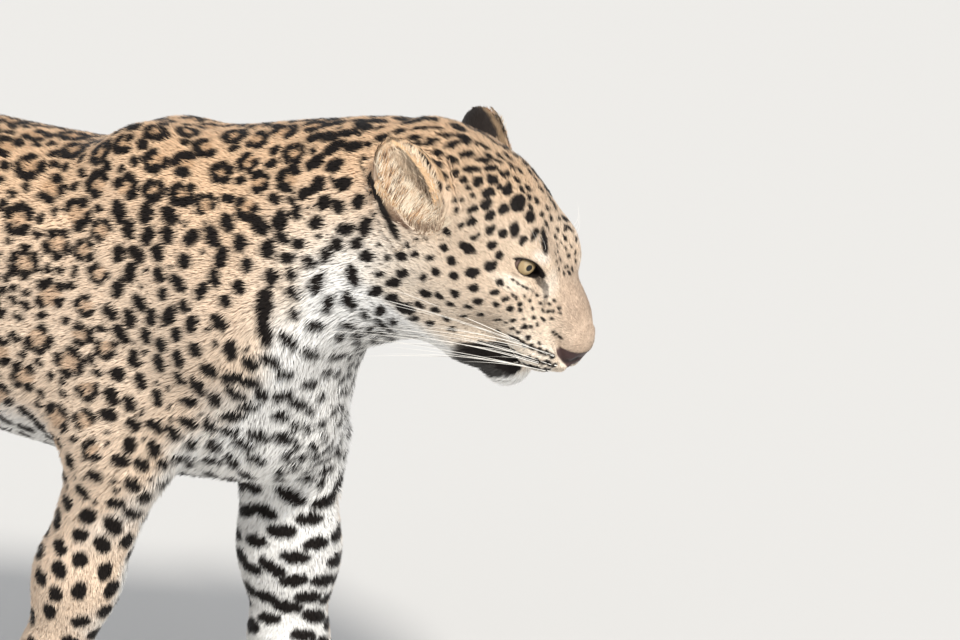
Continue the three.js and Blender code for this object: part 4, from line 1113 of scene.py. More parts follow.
def colours(P, N, marks):
    c = ground(P, N)
    table = bins(P, 24.0)
    dark = np.zeros(len(P))
    tint = np.zeros(len(P))
    warp = np.stack([noise(P, 9, 11), noise(P, 9, 12), noise(P, 9, 13)], 1) * 0.9
    PW = P + warp
    for place, way, a, b, strength in marks:
        i = near_bins(table, place, 24.0, a * 1.35 + 2)
        if not len(i):
            continue
        d = PW[i] - place
        s = d @ way
        side2 = np.maximum((d * d).sum(1) - s * s, 0)
        rho = np.sqrt((s / a) ** 2 + side2 / (b * b))
        soft = 0.9 / b
        v = 1 - step01(rho, 1 - soft, 1 + soft)
        if strength > 0:
            dark[i] = np.maximum(dark[i], v * strength)
        else:
            tint[i] = np.maximum(tint[i], v * -strength)
    c = mix(c, ROSETTE, tint * (1 - dark))
    x, y, z = P.T
    h, Q = head_share(P)
    A = Q.copy()
    A[:, 1] = -np.abs(A[:, 1])
    # tail's end: dark rings
    d, along, run = tail_place(P)
    ring = (d < 1.4) * (x < -700) * step01(along, run * 0.60, run * 0.64)
    wave = np.sin((along - run * 0.6) / 52.0 * 6.283)
    dark = np.maximum(dark, ring * step01(wave + 0.25 * noise(P, 30, 5), 0.15, 0.5) * step01(N[:, 2], -0.6, -0.1))
    dark = np.maximum(dark, (d < 1.5) * (x < -700) * step01(along, run - 30, run - 12))
    # dark lips with a pale edge, and a wider black band along the lower jaw with a patch at the corner of the mouth:
    # black lip in part, painted shadow under the overhanging whisker pads in part
    m, t = near_line(A, MOUTH)
    on_face = h > 0.5
    lips_and_mouth_shadow = (1 - step01(m, 1.6, 3.4)) * on_face
    # the band along the lower jaw and the corner patch below are black lip with painted shadow from the whisker pads
    below = near_line(A, [(-50, -24, -50), (-62, -36, -48), (-78, -43, -46), (-96, -47, -48)])[0]
    under = step01(m_side(A), -2.0, 0.5)
    lips_and_mouth_shadow = np.maximum(lips_and_mouth_shadow, (1 - step01(below + 1.2 * noise(P, 6, 8), 10.0, 12.5)) * on_face * under)
    edge = -63 + 0.73 * np.minimum(Q[:, 0] + 54, 0) + 1.6 * noise(P, 7, 9)
    lips_and_mouth_shadow = np.maximum(lips_and_mouth_shadow, step01(Q[:, 2] - edge, -1.5, 2.5) * step01(Q[:, 0] + 2 * noise(P, 8, 10), -108, -98) * step01(-A[:, 1], 15, 22) * on_face * under * (Q[:, 0] < -30) * 0.96)
    dark = np.maximum(dark, lips_and_mouth_shadow)
    # lines through the whisker pads
    for line in (WHISKER_DOTS[0:5], WHISKER_DOTS[5:10], WHISKER_DOTS[10:17]):
        m, t = near_line(A, line)
        dark = np.maximum(dark, (1 - step01(m, 1.2, 2.7)) * on_face * 0.8)
        f_gap = (1 - step01(np.abs(m - 5.2), 0.8, 2.4)) * on_face * (Q[:, 0] < -22)
        c = mix(c, CREAM, 0.7 * f_gap)
    # rim of the eye, wider above where the black lid margin also carries painted shadow from the brow, and the line
    # down from its inner corner
    p = (A - sided(EYE_AT, -1)) @ EYE_M
    rho = lid_shape(p)
    r3 = np.linalg.norm(p, axis=1)
    # wider above the eye: the black lid margin plus painted shadow under the brow
    lid_rim_and_brow_shadow = (1 - step01(rho, 1.05 + 0.18 * (p[:, 2] > 0), 1.15 + 0.27 * (p[:, 2] > 0))) * (r3 < 30) * (p[:, 0] > 0) * on_face
    dark = np.maximum(dark, lid_rim_and_brow_shadow)
    m, t = near_line(A, [(-66, -36, 46), (-60, -32, 43), (-55, -30, 34), (-52, -32, 22)])
    dark = np.maximum(dark, (1 - step01(m, 3.4 - 2.4 * t, 5.2 - 2.8 * t)) * on_face * (0.82 - 0.42 * t))
    c = mix(c, BLACK, dark)
    # ears: pale inside with painted shade low in the hollow, black behind with a pale tip patch, sandy rim
    for s in (-1, 1):
        e = in_ear(Q, s)
        m = ((ear_field(Q, s) < 5) & (e[:, 2] > 10) & (Q[:, 0] < -150)).astype(float)
        L = EARS[s][2]
        facing = (N @ HEAD_R) @ EARS[s][1][:, 1]
        hollow = (e[:, 0] / 26) ** 2 + ((e[:, 2] - L * 0.5 - 2) / (L * 0.47)) ** 2
        inner = step01(facing, -0.1, 0.35) * step01(e[:, 1], -6, 2) * (1 - step01(hollow, 0.95, 1.2))
        back = step01(-facing, 0.0 if s < 0 else -0.4, 0.4 if s < 0 else 0.0)
        pale = (1 - step01(np.linalg.norm((e - [2 * s, -16, L * 0.54]) / [24, 15, 17], axis=1), 0.5, 1.2)) * step01(noise(P, 7, 40), -0.5, 0.5)
        base = step01(e[:, 2], 12, 26)
        c = mix(c, mix(np.tile(EAR_BLACK, (len(P), 1)), rgb(214, 204, 188), pale * 0.8), m * back * base)
        # inside of the ear: dark brown low in the hollow rising to pale tan at the top, painted shade in the hollow
        c = mix(c, mix(np.tile(rgb(92, 70, 56), (len(P), 1)), rgb(216, 188, 156), step01(e[:, 2] / L - 0.004 * e[:, 0] * s, 0.34, 0.88)), m * inner * base)
        rimline = m * (1 - step01(np.abs(facing), 0.15, 0.5)) * base
        c = mix(c, rgb(206, 172, 134), rimline * (0.8 if s < 0 else 0.35))
    # leather of the nose, painted paler where it faces up: painted light from above
    nose = nose_share(Q)
    c = mix(c, mix(np.tile(LEATHER, (len(P), 1)), rgb(104, 78, 72), step01(N @ HEAD_R[:, 2], 0.1, 0.9) * 0.8), nose * h)
    m, t = near_line(A, NOSTRIL)
    c = mix(c, rgb(13, 10, 10), (1 - step01(m, 2.4 - 1.0 * t, 4.4 - 1.8 * t)) * on_face)
    return np.clip(c, 0.003, 0.97)


def nose_share(Q):
    """1 on the bare leather of the nose: a wide wedge, narrow at the lip."""
    y = np.abs(Q[:, 1])
    width = 24.5 + np.clip(Q[:, 2] + 13, -30, 0) * 1.1
    side = step01(y - width, -1.2, 1.2)
    top = step01(Q[:, 2] + 2.0 + 0.14 * y, -1.2, 1.2)
    back = step01(-Q[:, 0] - (10 + y * 0.62), -1.4, 1.4)
    bottom = step01(-Q[:, 2], 27, 30)
    return (1 - side) * (1 - top) * (1 - back) * (1 - bottom) * (Q[:, 0] > -34)


# ---- Blender pieces ----
def to_row(P):
    return (P - CENTRE) / 1000.0


def mesh_of(name, V, T, colour=None, normals=None, uv=None, gloss=None):
    me = bpy.data.meshes.new(name)
    me.vertices.add(len(V))
    me.vertices.foreach_set("co", to_row(V).astype(np.float32).ravel())
    me.loops.add(len(T) * 3)
    me.loops.foreach_set("vertex_index", T.astype(np.int32).ravel())
    me.polygons.add(len(T))
    me.polygons.foreach_set("loop_start", np.arange(0, len(T) * 3, 3, dtype=np.int32))
    me.polygons.foreach_set("loop_total", np.full(len(T), 3, np.int32))
    me.polygons.foreach_set("use_smooth", np.ones(len(T), bool))
    me.update(calc_edges=True)
    if colour is not None:
        a = me.color_attributes.new("Col", "FLOAT_COLOR", "POINT")
        a.data.foreach_set("color", np.concatenate([colour, np.ones((len(V), 1))], 1).astype(np.float32).ravel())
        me.color_attributes.active_color = a
    if gloss is not None:
        a = me.attributes.new("bare", "FLOAT", "POINT")
        a.data.foreach_set("value", gloss.astype(np.float32))
    if uv is not None:
        layer = me.uv_layers.new(name="OFBake")
        layer.uv.foreach_set("vector", uv[T.ravel()].astype(np.float32).ravel())
    if normals is not None:
        a = me.attributes.new("custom_normal", "FLOAT_VECTOR", "POINT")
        a.data.foreach_set("vector", normals.astype(np.float32).ravel())
    ob = bpy.data.objects.new(name, me)
    bpy.context.scene.collection.objects.link(ob)
    return ob


def material(name, rough=0.7, specular=0.3, sheen=0.0, coat=0.0, bump=None, gloss=False):
    m = bpy.data.materials.new(name)
    m.use_nodes = True
    nt = m.node_tree
    b = nt.nodes["Principled BSDF"]
    a = nt.nodes.new("ShaderNodeVertexColor")
    a.layer_name = "Col"
    nt.links.new(a.outputs["Color"], b.inputs["Base Color"])
    b.inputs["Roughness"].default_value = rough
    b.inputs["Specular IOR Level"].default_value = specular
    b.inputs["Sheen Weight"].default_value = sheen
    b.inputs["Coat Weight"].default_value = coat
    b.inputs["Coat Roughness"].default_value = 0.06
    if gloss:
        g = nt.nodes.new("ShaderNodeAttribute")
        g.attribute_name = "bare"
        r = nt.nodes.new("ShaderNodeMapRange")
        r.inputs["To Min"].default_value = rough
        r.inputs["To Max"].default_value = 0.36
        nt.links.new(g.outputs["Fac"], r.inputs["Value"])
        nt.links.new(r.outputs["Result"], b.inputs["Roughness"])
    if bump:
        tc = nt.nodes.new("ShaderNodeTexCoord")
        n = nt.nodes.new("ShaderNodeTexNoise")
        n.inputs["Scale"].default_value = bump[0]
        n.inputs["Detail"].default_value = 3
        bp = nt.nodes.new("ShaderNodeBump")
        bp.inputs["Strength"].default_value = bump[1]
        bp.inputs["Distance"].default_value = 0.001
        nt.links.new(tc.outputs["Object"], n.inputs["Vector"])
        nt.links.new(n.outputs["Fac"], bp.inputs["Height"])
        nt.links.new(bp.outputs["Normal"], b.inputs["Normal"])
    return m


def area_normals(V, T):
    n = np.cross(V[T[:, 1]] - V[T[:, 0]], V[T[:, 2]] - V[T[:, 0]])
    out = np.zeros_like(V)
    for k in range(3):
        for d in range(3):
            out[:, d] += np.bincount(T[:, k], n[:, d], len(V))
    return unit(out)


# Skin
lo, hi = np.array([-1062.0, -150.0, -14.0]), np.array([452.0, 152.0, 700.0])
V, T = grid_surface(skin_at, lo, hi, 4.0)
V = draw_on(skin_at, V, 2, 2.2)
V, T, old = refine(V, T, lambda P: head_wanted(P) | paw_wanted(P))
V[old:] = draw_on(skin_at, V[old:], 2, 1.6)
V, T, old = refine(V, T, fine_wanted)
V[old:] = draw_on(skin_at, V[old:], 2, 1.0)
V[:, 2] = np.maximum(V[:, 2], 0.15)
N = area_normals(V, T)
MARKS = make_marks(V, N)
skin_col = colours(V, N, MARKS)
bare = nose_share(to_head(V)) * head_share(V)[0]
print("skin", len(V), len(T), "marks", len(MARKS))
skin = mesh_of("skin", V, T, colour=skin_col, gloss=bare)
skin.data.materials.append(material("skin_fur", 0.72, 0.25, bump=(900, 0.25), gloss=True))

# Coat
tri = V[T]
tri_n = np.cross(tri[:, 1] - tri[:, 0], tri[:, 2] - tri[:, 0])
tri_area = np.linalg.norm(tri_n, axis=1) / 2
centre = tri.mean(1)


def coat_size(P, N):
    """Hair length and half width in mm, and how many there are to a square mm."""
    x, y, z = P.T
    low = leg_share(P)
    L = 12.0 - 3.0 * low - 3.0 * step01(z, 560, 630)
    L = np.where(z < 70, 6 + 8 * step01(z, 20, 70), L)
    pale = pale_share(P, N)
    L = L + 5 * pale * (1 - low) * (x > -60)
    d, along, run = tail_place(P)
    tail = (d < 1.4) & (x < -700)
    L = np.where(tail, 17.0 + 6 * step01(along, run * 0.5, run), L)
    h, Q = head_share(P)
    face = 4.2 + 2.0 * step01(-Q[:, 0], 40, 90) + 2.6 * step01(-Q[:, 0], 120, 210)
    face = np.where(Q[:, 0] > -40, 3.6 + 1.4 * step01(-Q[:, 0], 10, 40), face)
    chin = step01(-Q[:, 2], 50, 66)
    face = face + 6 * chin
    L = L * (1 - h) + face * h
    w = np.clip(0.32 + L * 0.018, 0.3, 0.75)
    dens = np.clip(1.9 / (w * L * 0.16), 0.3, 6.0)
    for s in (-1, 1):
        e = in_ear(Q, s)
        m = (ear_field(Q, s) < 4) & (e[:, 2] > 10) & (Q[:, 0] < -150)
        L = np.where(m, 7.0, L)
        w = np.where(m, 0.36, w)
        dens = np.where(m, 3.2, dens)
    return L, w, dens


L0, W0, D0 = coat_size(centre, unit(tri_n))
HC, QC = head_share(centre)
pe = np.where((QC[:, 1] > 0)[:, None], in_eye(QC, 1), in_eye(QC, -1))
near_eye = (np.linalg.norm(pe, axis=1) < 28) & (pe[:, 0] > 0)
clear = (nose_share(QC) * HC > 0.3) | (near_eye & (lid_shape(pe) < 1.16)) | (centre[:, 2] < 3.5)
MA = QC.copy()
MA[:, 1] = -np.abs(MA[:, 1])
clear |= (near_line(MA, MOUTH)[0] < 1.6) & (HC > 0.5)
weight = tri_area * D0 * ~clear
TOTAL = 660000
pick = RNG.choice(len(T), size=TOTAL, p=weight / weight.sum())
ru, rv = np.sqrt(RNG.random(TOTAL)), RNG.random(TOTAL)
bary = np.stack([1 - ru, ru * (1 - rv), ru * rv], 1)
root = (tri[pick] * bary[:, :, None]).sum(1)
rn = unit((N[T[pick]] * bary[:, :, None]).sum(1))
print("roots", len(root))


def in_parts2(fn, A, B, size=300000):
    return np.concatenate([fn(A[i : i + size], B[i : i + size]) for i in range(0, len(A), size)])


way = in_parts2(lie, root, rn)
depth = in_parts(coat_depth, root)
Ls, Ws, _ = (np.concatenate(x) for x in zip(*[coat_size(root[i : i + 300000], rn[i : i + 300000]) for i in range(0, len(root), 300000)]))
Ls = Ls * RNG.uniform(0.72, 1.12, TOTAL)
clump = noise(root, 14, 31) * 0.22 + noise(root, 5, 32) * 0.12
across = np.cross(rn, way)
ang = clump + RNG.normal(0, 0.10, TOTAL)
d = way * np.cos(ang)[:, None] + across * np.sin(ang)[:, None]
across = np.cross(rn, d)
rise = np.minimum(depth * RNG.uniform(0.55, 1.0, TOTAL), Ls * 0.5)
sunk = 0.6
base = root - rn * sunk
tip = root + d * np.sqrt(np.maximum(Ls**2 - rise**2, 1))[:, None] + rn * rise[:, None]
mid = root + d * (Ls * 0.42)[:, None] + rn * (rise * 0.62)[:, None]
# a tuft carries the marks of the places it covers
col_mid = in_parts2(lambda a, b: colours(a, b, MARKS), root + d * (Ls * 0.36)[:, None], rn)
col_tip = in_parts2(lambda a, b: colours(a, b, MARKS), root + d * (Ls * 0.86)[:, None], rn)
hr, Qr = head_share(root)
grain = 0.08 + 0.10 * hr * step01(Qr[:, 0], -120, -60)
shade = np.clip(1 + RNG.normal(0, 1, TOTAL) * grain - 0.16 * (RNG.random(TOTAL) < 0.12) * hr, 0.5, 1.4)[:, None]
col_mid, col_tip = np.clip(col_mid * shade, 0.003, 0.97), np.clip(col_tip * shade, 0.003, 0.97)
reg = in_parts(regions, root)
reg = np.where((reg == 10) | (reg == 11), reg, reg)
nrm = unit(rn + 0.16 * d + RNG.normal(0, 0.10, (TOTAL, 3)))


def chart(P, r):
    """Place on the unwrap of each part's own shape: round its middle line, and along it."""
    x, y, z = P.T
    if r in (1, 2, 3, 4):
        xc = np.clip(x, -718, 312)
        zc = (curve(TRUNK, xc, 1) + curve(TRUNK, xc, 2)) / 2
        return np.stack([np.arctan2(y, z - zc) / 6.4 + 0.5, (x + 760) / 1150], 1)
    if r in (5, 6, 7, 8):
        line = np.array(LEGS[REGION[r]], float)
        lx, ly = np.interp(z, line[:, 2], line[:, 0]), np.interp(z, line[:, 2], line[:, 1])
        return np.stack([np.arctan2(y - ly, x - lx) / 6.4 + 0.5, 0.01 + z / 470], 1)
    if r == 9:
        T3 = np.array([t[:3] for t in TAIL], float)
        _, along, run = tail_place(P)
        seg = np.diff(T3, axis=0)
        at = np.r_[0, np.cumsum(np.linalg.norm(seg, axis=1))]
        c = np.stack([np.interp(along, at, T3[:, k]) for k in range(3)], 1)
        i = np.clip(np.searchsorted(at, along) - 1, 0, len(seg) - 1)
        s = unit(seg)[i]
        side = np.array([0, 1.0, 0])
        upw = np.cross(s, side)
        q = P - c
        return np.stack([np.arctan2(q @ side, (q * upw).sum(1)) / 6.4 + 0.5, 0.02 + 0.95 * along / run], 1)
    Q = to_head(P)
    if r == 0:
        return np.stack([np.arctan2(Q[:, 1], Q[:, 2] - 14) / 6.4 + 0.5, (Q[:, 0] + 290) / 310], 1)
    s = -1 if r == 10 else 1
    e = in_ear(Q, s)
    half = np.where(e[:, 1] > 2 + 0 * e[:, 0], 0.27, 0.75)
    return np.stack([half + e[:, 0] / 160, 0.05 + e[:, 2] / 130], 1)


fur = material("fur", 0.66, 0.18, sheen=0.04)
made = []
for r, name in enumerate(REGION):
    idx = np.nonzero(reg == r)[0]
    if not len(idx):
        continue
    many = int(math.ceil(len(idx) * 2 / 190000))
    key = root[idx, 0] if r < 5 else root[idx, 2]
    idx = idx[np.argsort(key)]
    for part, ids in enumerate(np.array_split(idx, many)):
        n = len(ids)
        w = Ws[ids][:, None]
        verts = np.stack([base[ids], mid[ids] - across[ids] * w, mid[ids] + across[ids] * w, tip[ids]], 1).reshape(-1, 3)
        verts[:, 2] = np.maximum(verts[:, 2], 0.3)
        o = np.arange(n)[:, None] * 4
        tris = np.stack([o + [0, 1, 2], o + [2, 1, 3]], 1).reshape(-1, 3)
        fn = np.cross(verts[tris[:, 1]] - verts[tris[:, 0]], verts[tris[:, 2]] - verts[tris[:, 0]])
        nv = np.repeat(nrm[ids], 4, 0)
        wrong = (fn * nv[tris[:, 0]]).sum(1) < 0
        tris[wrong] = tris[wrong][:, ::-1]
        cv = np.repeat(col_mid[ids], 4, 0)
        # the root corner of each tuft is painted darker: painted shade down between the tufts
        cv[0::4] *= 0.74
        cv[3::4] = np.clip(col_tip[ids] * 1.08, 0, 0.97)
        uv0 = chart(root[ids], r)
        uv = np.repeat(uv0, 4, 0) + np.tile(np.array([[0, -0.0015], [-0.0015, 0], [0.0015, 0], [0, 0.0015]]), (n, 1))
        ob = mesh_of("coat_" + name + ("_%d" % (part + 1) if many > 1 else ""), verts, tris, colour=cv, normals=nv, uv=np.clip(uv, 0, 1))
        ob.data.materials.append(fur)
        made.append(ob)
        print(ob.name, n * 2)


# Eyes
def eye_piece(s):
    name = "eyeball_left" if s > 0 else "eyeball_right"
    rings, around = 64, 96
    th = np.linspace(0, np.pi, rings + 1)[1:-1]
    ph = np.arange(around) / around * 2 * np.pi
    TH, PH = np.meshgrid(th, ph, indexing="ij")
    p = np.stack([np.cos(TH), np.sin(TH) * np.cos(PH), np.sin(TH) * np.sin(PH)], -1).reshape(-1, 3)
    p = np.concatenate([[[1.0, 0, 0]], p, [[-1.0, 0, 0]]])
    gaze = unit([1.0, 0.10, 0.08])
    ang = np.arccos(np.clip(p @ gaze, -1, 1))
    bulge = 1.35 * (1 - step01(ang, 0.25, 0.85))
    q = p * (EYE_R + bulge)[:, None]
    F = []
    for i in range(rings - 2):
        a = 1 + i * around + np.arange(around)
        b = 1 + i * around + (np.arange(around) + 1) % around
        F += [np.stack([a, a + around, b + around], 1), np.stack([a, b + around, b], 1)]
    a = 1 + np.arange(around)
    b = 1 + (np.arange(around) + 1) % around
    F.append(np.stack([np.zeros(around, int), a, b], 1))
    last = len(p) - 1
    a = 1 + (rings - 2) * around + np.arange(around)
    b = 1 + (rings - 2) * around + (np.arange(around) + 1) % around
    F.append(np.stack([np.full(around, last), b, a], 1))
    F = np.concatenate(F)
    rad = ang * EYE_R
    turn_a = np.arctan2(p[:, 2], p[:, 1])
    streak = 0.5 + 0.5 * np.sin(turn_a * 46 + 2 * np.sin(turn_a * 7))
    iris = mix(np.tile(rgb(166, 143, 106), (len(p), 1)), rgb(122, 103, 72), streak * 0.6)
    iris = mix(iris, rgb(194, 174, 136), 0.5 * (1 - step01(rad, 3.0, 6.5)))
    c = mix(iris, rgb(58, 44, 30), step01(rad, 9.4, 10.8))
    c = mix(c, rgb(112, 92, 84), step01(rad, 10.9, 12.4))
    c = mix(np.tile(rgb(8, 7, 7), (len(p), 1)), c, step01(rad, 2.8, 3.4))
    # the upper part of the iris is painted darker: painted shadow of the upper lid and brow
    c = mix(c, c * 0.36, step01(p[:, 2] * EYE_R, 2.0, 7.0) * (rad < 13))
    out = q @ EYE_M.T + sided(EYE_AT, -1)
    out[:, 1] *= -s * 1.0
    W = from_head(out)
    cc = from_head(sided(EYE_AT, s))
    fn = np.cross(W[F[:, 1]] - W[F[:, 0]], W[F[:, 2]] - W[F[:, 0]])
    wrong = (fn * (W[F].mean(1) - cc)).sum(1) < 0
    F[wrong] = F[wrong][:, ::-1]
    ob = mesh_of(name, W, F, colour=c)
    ob.data.materials.append(eye_mat)
    return ob


eye_mat = material("eye_wet", 0.16, 0.3, coat=0.35)
eyes = {s: eye_piece(s) for s in (-1, 1)}


# Whiskers and ear hair
def tubes(name, lines, r0, mat, tone, sides=4):
    Vs, Fs, k = [], [], 0
    for line, r in zip(lines, r0):
        line = np.asarray(line, float)
        n = len(line)
        t = unit(np.gradient(line, axis=0))
        a = unit(np.cross(t, [0.1, 0.2, 1.0]))
        b = np.cross(t, a)
        taper = r * (1 - np.linspace(0, 1, n) ** 1.3 * 0.93)
        for i in range(n):
            for j in range(sides):
                w = 2 * np.pi * j / sides
                Vs.append(line[i] + taper[i] * (a[i] * np.cos(w) + b[i] * np.sin(w)))
        for i in range(n - 1):
            for j in range(sides):
                p, q = k + i * sides + j, k + i * sides + (j + 1) % sides
                Fs += [(p, q, q + sides), (p, q + sides, p + sides)]
        for j in range(1, sides - 1):
            Fs.append((k, k + j + 1, k + j))
            e = k + (n - 1) * sides
            Fs.append((e, e + j, e + j + 1))
        k += n * sides
    Vs, Fs = np.array(Vs), np.array(Fs)
    ob = mesh_of(name, Vs, Fs, colour=np.tile(tone, (len(Vs), 1)))
    ob.data.materials.append(mat)
    return ob


hair_mat = material("whisker", 0.45, 0.4)
r = np.random.default_rng(5)
lines, radii = [], []
for s in (-1, 1):
    for k, c in enumerate([*WHISKER_DOTS[:-3], *WHISKER_DOTS[1:13]]):
        if r.random() < 0.10:
            continue
        q = np.array([c[0], abs(c[1]) * s, c[2]], float) + (r.normal(0, 1.2, 3) if k > 16 else 0)
        length = r.uniform(105, 215) * (0.5 if c[0] > -26 else 1.0)
        go = unit([-0.92, 0.40 * s, -0.02 - 0.25 * r.random() + 0.004 * (c[2] + 20)])
        bend = unit([-0.15, 0.15 * s, -1.0]) * length * r.uniform(0.05, 0.22)
        t = np.linspace(0, 1, 12)[:, None]
        lines.append(from_head(q - go * 2 + go * length * t + bend * t * t))
        radii.append(r.uniform(0.22, 0.37))
    for c in ([-82, 34, 74], [-78, 30, 73], [-86, 38, 76]):
        q = sided(c, s)
        t = np.linspace(0, 1, 9)[:, None]
        go = unit([0.25, 0.5 * s, 0.75])
        lines.append(from_head(q + go * 20 * t + np.array([-1.0, 0, 0.1]) * 16 * t * t))
        radii.append(0.14)
whiskers = tubes("whiskers", lines, radii, hair_mat, rgb(238, 234, 226))

# Long pale hair of the ears: a fringe from the front edge lying back over the hollow, a soft lining, and short hair along the back edge.
for s in (-1, 1):
    L = EARS[s][2]
    front = -s
    roots, ways, lengths, tones, halves = [], [], [], [], []

    def wall(px, pz):
        k = np.clip(1 - (px / 25) ** 2 - ((pz - L * 0.5 - 2) / (L * 0.46)) ** 2, 0.0, 1)
        return 15.5 - 21 * np.sqrt(k) + 0.4

    n = 3600  # lining
    up = 0.06 + 0.80 * r.random(n)
    half = 24 * np.sqrt(np.clip(1 - ((up - 0.5) / 0.50) ** 2, 0.05, 1))
    px, pz = r.uniform(-1, 1, n) * half * 0.95, up * L
    roots.append(np.stack([px, wall(px, pz), pz], 1))
    ways.append(np.stack([-front * (0.35 + 0.3 * r.random(n)) + r.normal(0, 0.2, n), 0.42 + 0.2 * r.random(n), 0.75 + 0 * px], 1))
    lengths.append(r.uniform(9, 22, n) * (1.0 if s < 0 else 0.5))
    # lining hair is painted darker the lower it sits in the hollow: painted shade inside the ear
    painted_hollow_shade = np.clip(1.15 - up * 1.1 - 0.5 * px * -front / 25, 0, 1)
    tones.append(mix(np.tile(rgb(230, 208, 180), (n, 1)), rgb(104, 80, 62), np.clip(painted_hollow_shade * r.uniform(0.4, 1.1, n), 0, 1)))
    n = 6200 if s < 0 else 700  # fringe of the front edge
    up = r.random(n) ** 0.85 * 0.86
    half = 27 * np.sqrt(np.clip(1 - ((up - 0.5) / 0.54) ** 2, 0.05, 1))
    px, pz = front * half * (0.99 - 0.5 * r.random(n) ** 1.4), up * L
    roots.append(np.stack([px, 7.0 + 3.0 * r.random(n) - 2.5 * (np.abs(px) / half > 0.95), pz], 1))
    lock = np.floor(up * 30) * 7 + np.floor(px / 6)
    pick_l = np.modf(np.abs(np.sin(lock * 12.99) * 437.6))[0]
    ways.append(np.stack([-front * (0.74 + 0.05 * r.normal(0, 1, n)), 0.20 + 0.26 * pick_l, 0.30 + 0.65 * up + 0.34 * (pick_l - 0.5) + r.normal(0, 0.05, n)], 1))
    lengths.append(r.uniform(16, 42, n) * (1.05 - 0.6 * up) * (1.0 if s < 0 else 0.35))
    pick_t = np.clip(pick_l + r.normal(0, 0.12, n), 0, 1)[:, None]
    tones.append(np.where(pick_t < 0.64, rgb(236, 220, 196), np.where(pick_t < 0.82, rgb(204, 166, 128), rgb(98, 74, 58))) * r.uniform(0.85, 1.05, (n, 1)))
    n = 3200 if s < 0 else 300  # fur of the cheek running over the front edge
    up = r.random(n) ** 1.2 * 0.66
    half = 28 * np.sqrt(np.clip(1 - ((up - 0.5) / 0.56) ** 2, 0.10, 1))
    px, pz = front * half * (0.96 + 0.22 * r.random(n)), up * L
    roots.append(np.stack([px, 2.0 + 4.0 * r.random(n), pz], 1))
    ways.append(np.stack([-front * (0.62 + 0.12 * r.normal(0, 1, n)), 0.42 + 0.12 * r.random(n), 0.30 + 0.4 * up + r.normal(0, 0.12, n)], 1))
    lengths.append(r.uniform(12, 26, n) * (1.05 - 0.5 * up) * (1.0 if s < 0 else 0.4))
    pick_t = r.random(n)[:, None]
    tones.append(np.where(pick_t < 0.5, rgb(214, 184, 148), np.where(pick_t < 0.8, rgb(226, 208, 182), rgb(186, 140, 98))) * r.uniform(0.85, 1.05, (n, 1)))
    n = 2200 if s < 0 else 700  # back edge
    up = 0.12 + 0.84 * r.random(n)
    half = 26 * np.sqrt(np.clip(1 - ((up - 0.5) / 0.52) ** 2, 0.05, 1))
    px, pz = -front * half * (0.92 + 0.14 * r.random(n)), up * L
    roots.append(np.stack([px, 8.5 + 0 * px, pz], 1))
    ways.append(np.stack([front * (0.35 + 0.2 * r.random(n)), 0.25 + 0 * px, 0.8 + 0 * px], 1))
    lengths.append(r.uniform(6, 13, n) * (1.0 if s < 0 else 0.5))
    tones.append(np.tile(rgb(222, 186, 146) if s < 0 else rgb(120, 106, 94), (n, 1)) * r.uniform(0.85, 1.08, (n, 1)))
    p0, way_e, length, tone = np.concatenate(roots), unit(np.concatenate(ways)), np.concatenate(lengths), np.concatenate(tones)
    n = len(p0)
    tip_e = p0 + way_e * length[:, None]
    tip_e[:, 1] = np.minimum(tip_e[:, 1], 16.5)
    mid_e = (p0 + tip_e) / 2 + np.array([0, 1.8, 0])
    ac = unit(np.cross(way_e, np.array([0, 1.0, 0]))) * r.uniform(0.24, 0.52, (n, 1))
    verts = np.stack([p0 - [0, 0.6, 0], mid_e - ac, mid_e + ac, tip_e], 1).reshape(-1, 3)
    base_e, m_e, _ = EARS[s]
    W = from_head(verts @ m_e.T + base_e)
    nv = unit(np.repeat(unit(np.array([[0, 1.0, 0.1]]) + r.normal(0, 0.22, (n, 3))), 4, 0) @ m_e.T @ HEAD_R.T)
    o = np.arange(n)[:, None] * 4
    tris = np.stack([o + [0, 1, 2], o + [2, 1, 3]], 1).reshape(-1, 3)
    fn = np.cross(W[tris[:, 1]] - W[tris[:, 0]], W[tris[:, 2]] - W[tris[:, 0]])
    wrong = (fn * nv[tris[:, 0]]).sum(1) < 0
    tris[wrong] = tris[wrong][:, ::-1]
    cv = np.clip(np.repeat(tone, 4, 0), 0.003, 0.97)
    # the root corner of each ear hair tuft is painted darker: painted shade down between the hairs
    cv[0::4] *= 0.6
    uv0 = np.stack([0.5 + p0[:, 0] / 90, 0.05 + p0[:, 2] / 130], 1)
    uv = np.repeat(uv0, 4, 0) + np.tile(np.array([[0, -0.0015], [-0.0015, 0], [0.0015, 0], [0, 0.0015]]), (n, 1))
    ob = mesh_of("ear_hair_left" if s > 0 else "ear_hair_right", W, tris, colour=cv, normals=nv, uv=np.clip(uv, 0, 1))
    ob.data.materials.append(fur)
    made.append(ob)

# ---- What stands for what ----
FLESH = ["head", "neck", "chest", "loin", "rump", "ear_left", "ear_right", "nose", "foreleg_left", "foreleg_right", "forepaw_left", "forepaw_right", "hindleg_left", "hindleg_right", "hindpaw_left", "hindpaw_right", "tail_base", "tail_middle", "tail_tip"]
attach(skin, "root")
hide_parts(*FLESH)
for ob in made + [whiskers]:
    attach(ob, "root")
for s, ob in eyes.items():
    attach(ob, "root")
    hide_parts("eye_left" if s > 0 else "eye_right")

# ---- Floor, light and camera ----
me = bpy.data.meshes.new("floor")
me.from_pydata([(-40, -40, 0), (40, -40, 0), (40, 40, 0), (-40, 40, 0)], [], [(0, 1, 2, 3)])
floor = bpy.data.objects.new("floor", me)
bpy.context.scene.collection.objects.link(floor)
fm = bpy.data.materials.new("floor")
fm.use_nodes = True
fb = fm.node_tree.nodes["Principled BSDF"]
fb.inputs["Base Color"].default_value = (0.56, 0.55, 0.53, 1)
fb.inputs["Roughness"].default_value = 0.9
me.materials.append(fm)

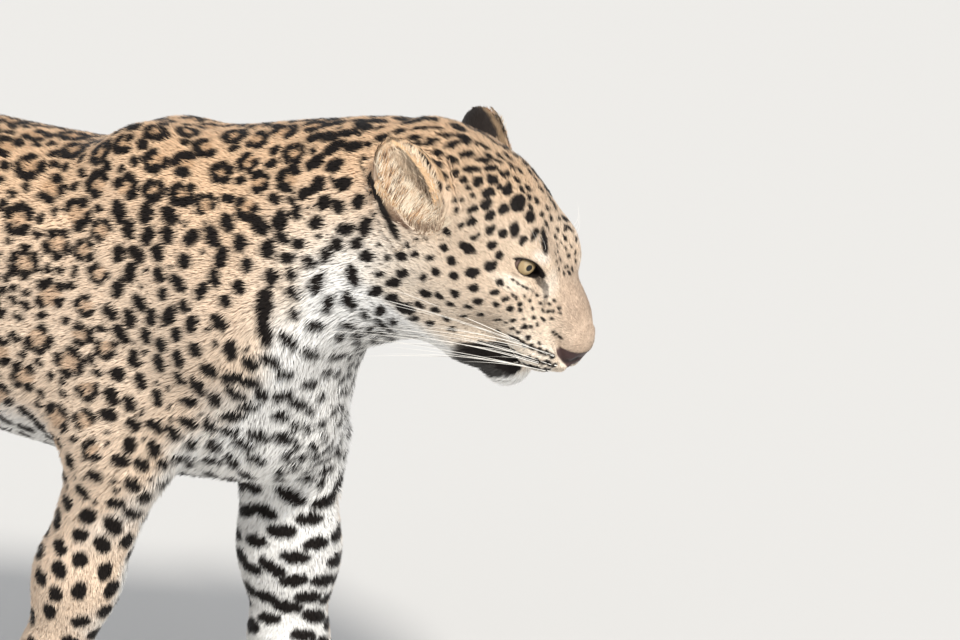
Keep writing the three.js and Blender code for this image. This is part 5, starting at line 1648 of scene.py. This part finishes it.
world = bpy.context.scene.world or bpy.data.worlds.new("world")
bpy.context.scene.world = world
world.use_nodes = True
bg = world.node_tree.nodes.get("Background") or world.node_tree.nodes.new("ShaderNodeBackground")
bg.inputs["Color"].default_value = (0.92, 0.95, 1.0, 1)
bg.inputs["Strength"].default_value = 0.78


def lamp(name, at, aim, size, power, tone=(1, 1, 1)):
    data = bpy.data.lights.new(name, "AREA")
    data.shape = "DISK"
    data.size = size
    data.energy = power
    data.color = tone
    ob = bpy.data.objects.new(name, data)
    bpy.context.scene.collection.objects.link(ob)
    ob.location = at
    ob.rotation_euler = (Vector(aim) - Vector(at)).to_track_quat("-Z", "Y").to_euler()


sun = bpy.data.lights.new("sun", "SUN")
sun.energy, sun.angle, sun.color = 3.6, math.radians(9), (1.0, 0.97, 0.92)
sun_ob = bpy.data.objects.new("sun", sun)
bpy.context.scene.collection.objects.link(sun_ob)
sun_ob.rotation_euler = Vector((-0.46, 0.57, -0.68)).to_track_quat("-Z", "Y").to_euler()
lamp("fill", (-2.6, -2.6, 1.6), (0.2, 0, 0.4), 2.5, 14, (0.94, 0.97, 1.0))
lamp("front", (2.8, -2.2, 0.5), (0.35, 0, 0.38), 1.8, 26, (1.0, 0.98, 0.96))

# The camera looks 20 degrees round from the right side and 16 degrees down, from far away, at 0.95 mm to a pixel of 960 at the animal.
AZ, EL, SCALE = math.radians(20.0), math.radians(16.0), 0.95
right = np.array([math.cos(AZ), math.sin(AZ), 0])
ahead = np.array([-math.sin(AZ) * math.cos(EL), math.cos(AZ) * math.cos(EL), -math.sin(EL)])
upward = np.cross(right, ahead)
aim = np.array([0.0, -45.0, 655.0]) + (480 - 157) * SCALE * right - (320 - 116) * SCALE * upward
cam_data = bpy.data.cameras.new("camera")
cam_data.lens, cam_data.sensor_width = 600, 36
cam_data.clip_end = 200
cam = bpy.data.objects.new("camera", cam_data)
bpy.context.scene.collection.objects.link(cam)
away = 960 * SCALE / 1000 * 600 / 36
eye_at = to_row(aim) - ahead * away
cam.location = eye_at
cam.rotation_euler = Vector(ahead).to_track_quat("-Z", "Y").to_euler()
bpy.context.scene.camera = cam
bpy.context.scene.view_settings.view_transform = "Standard"
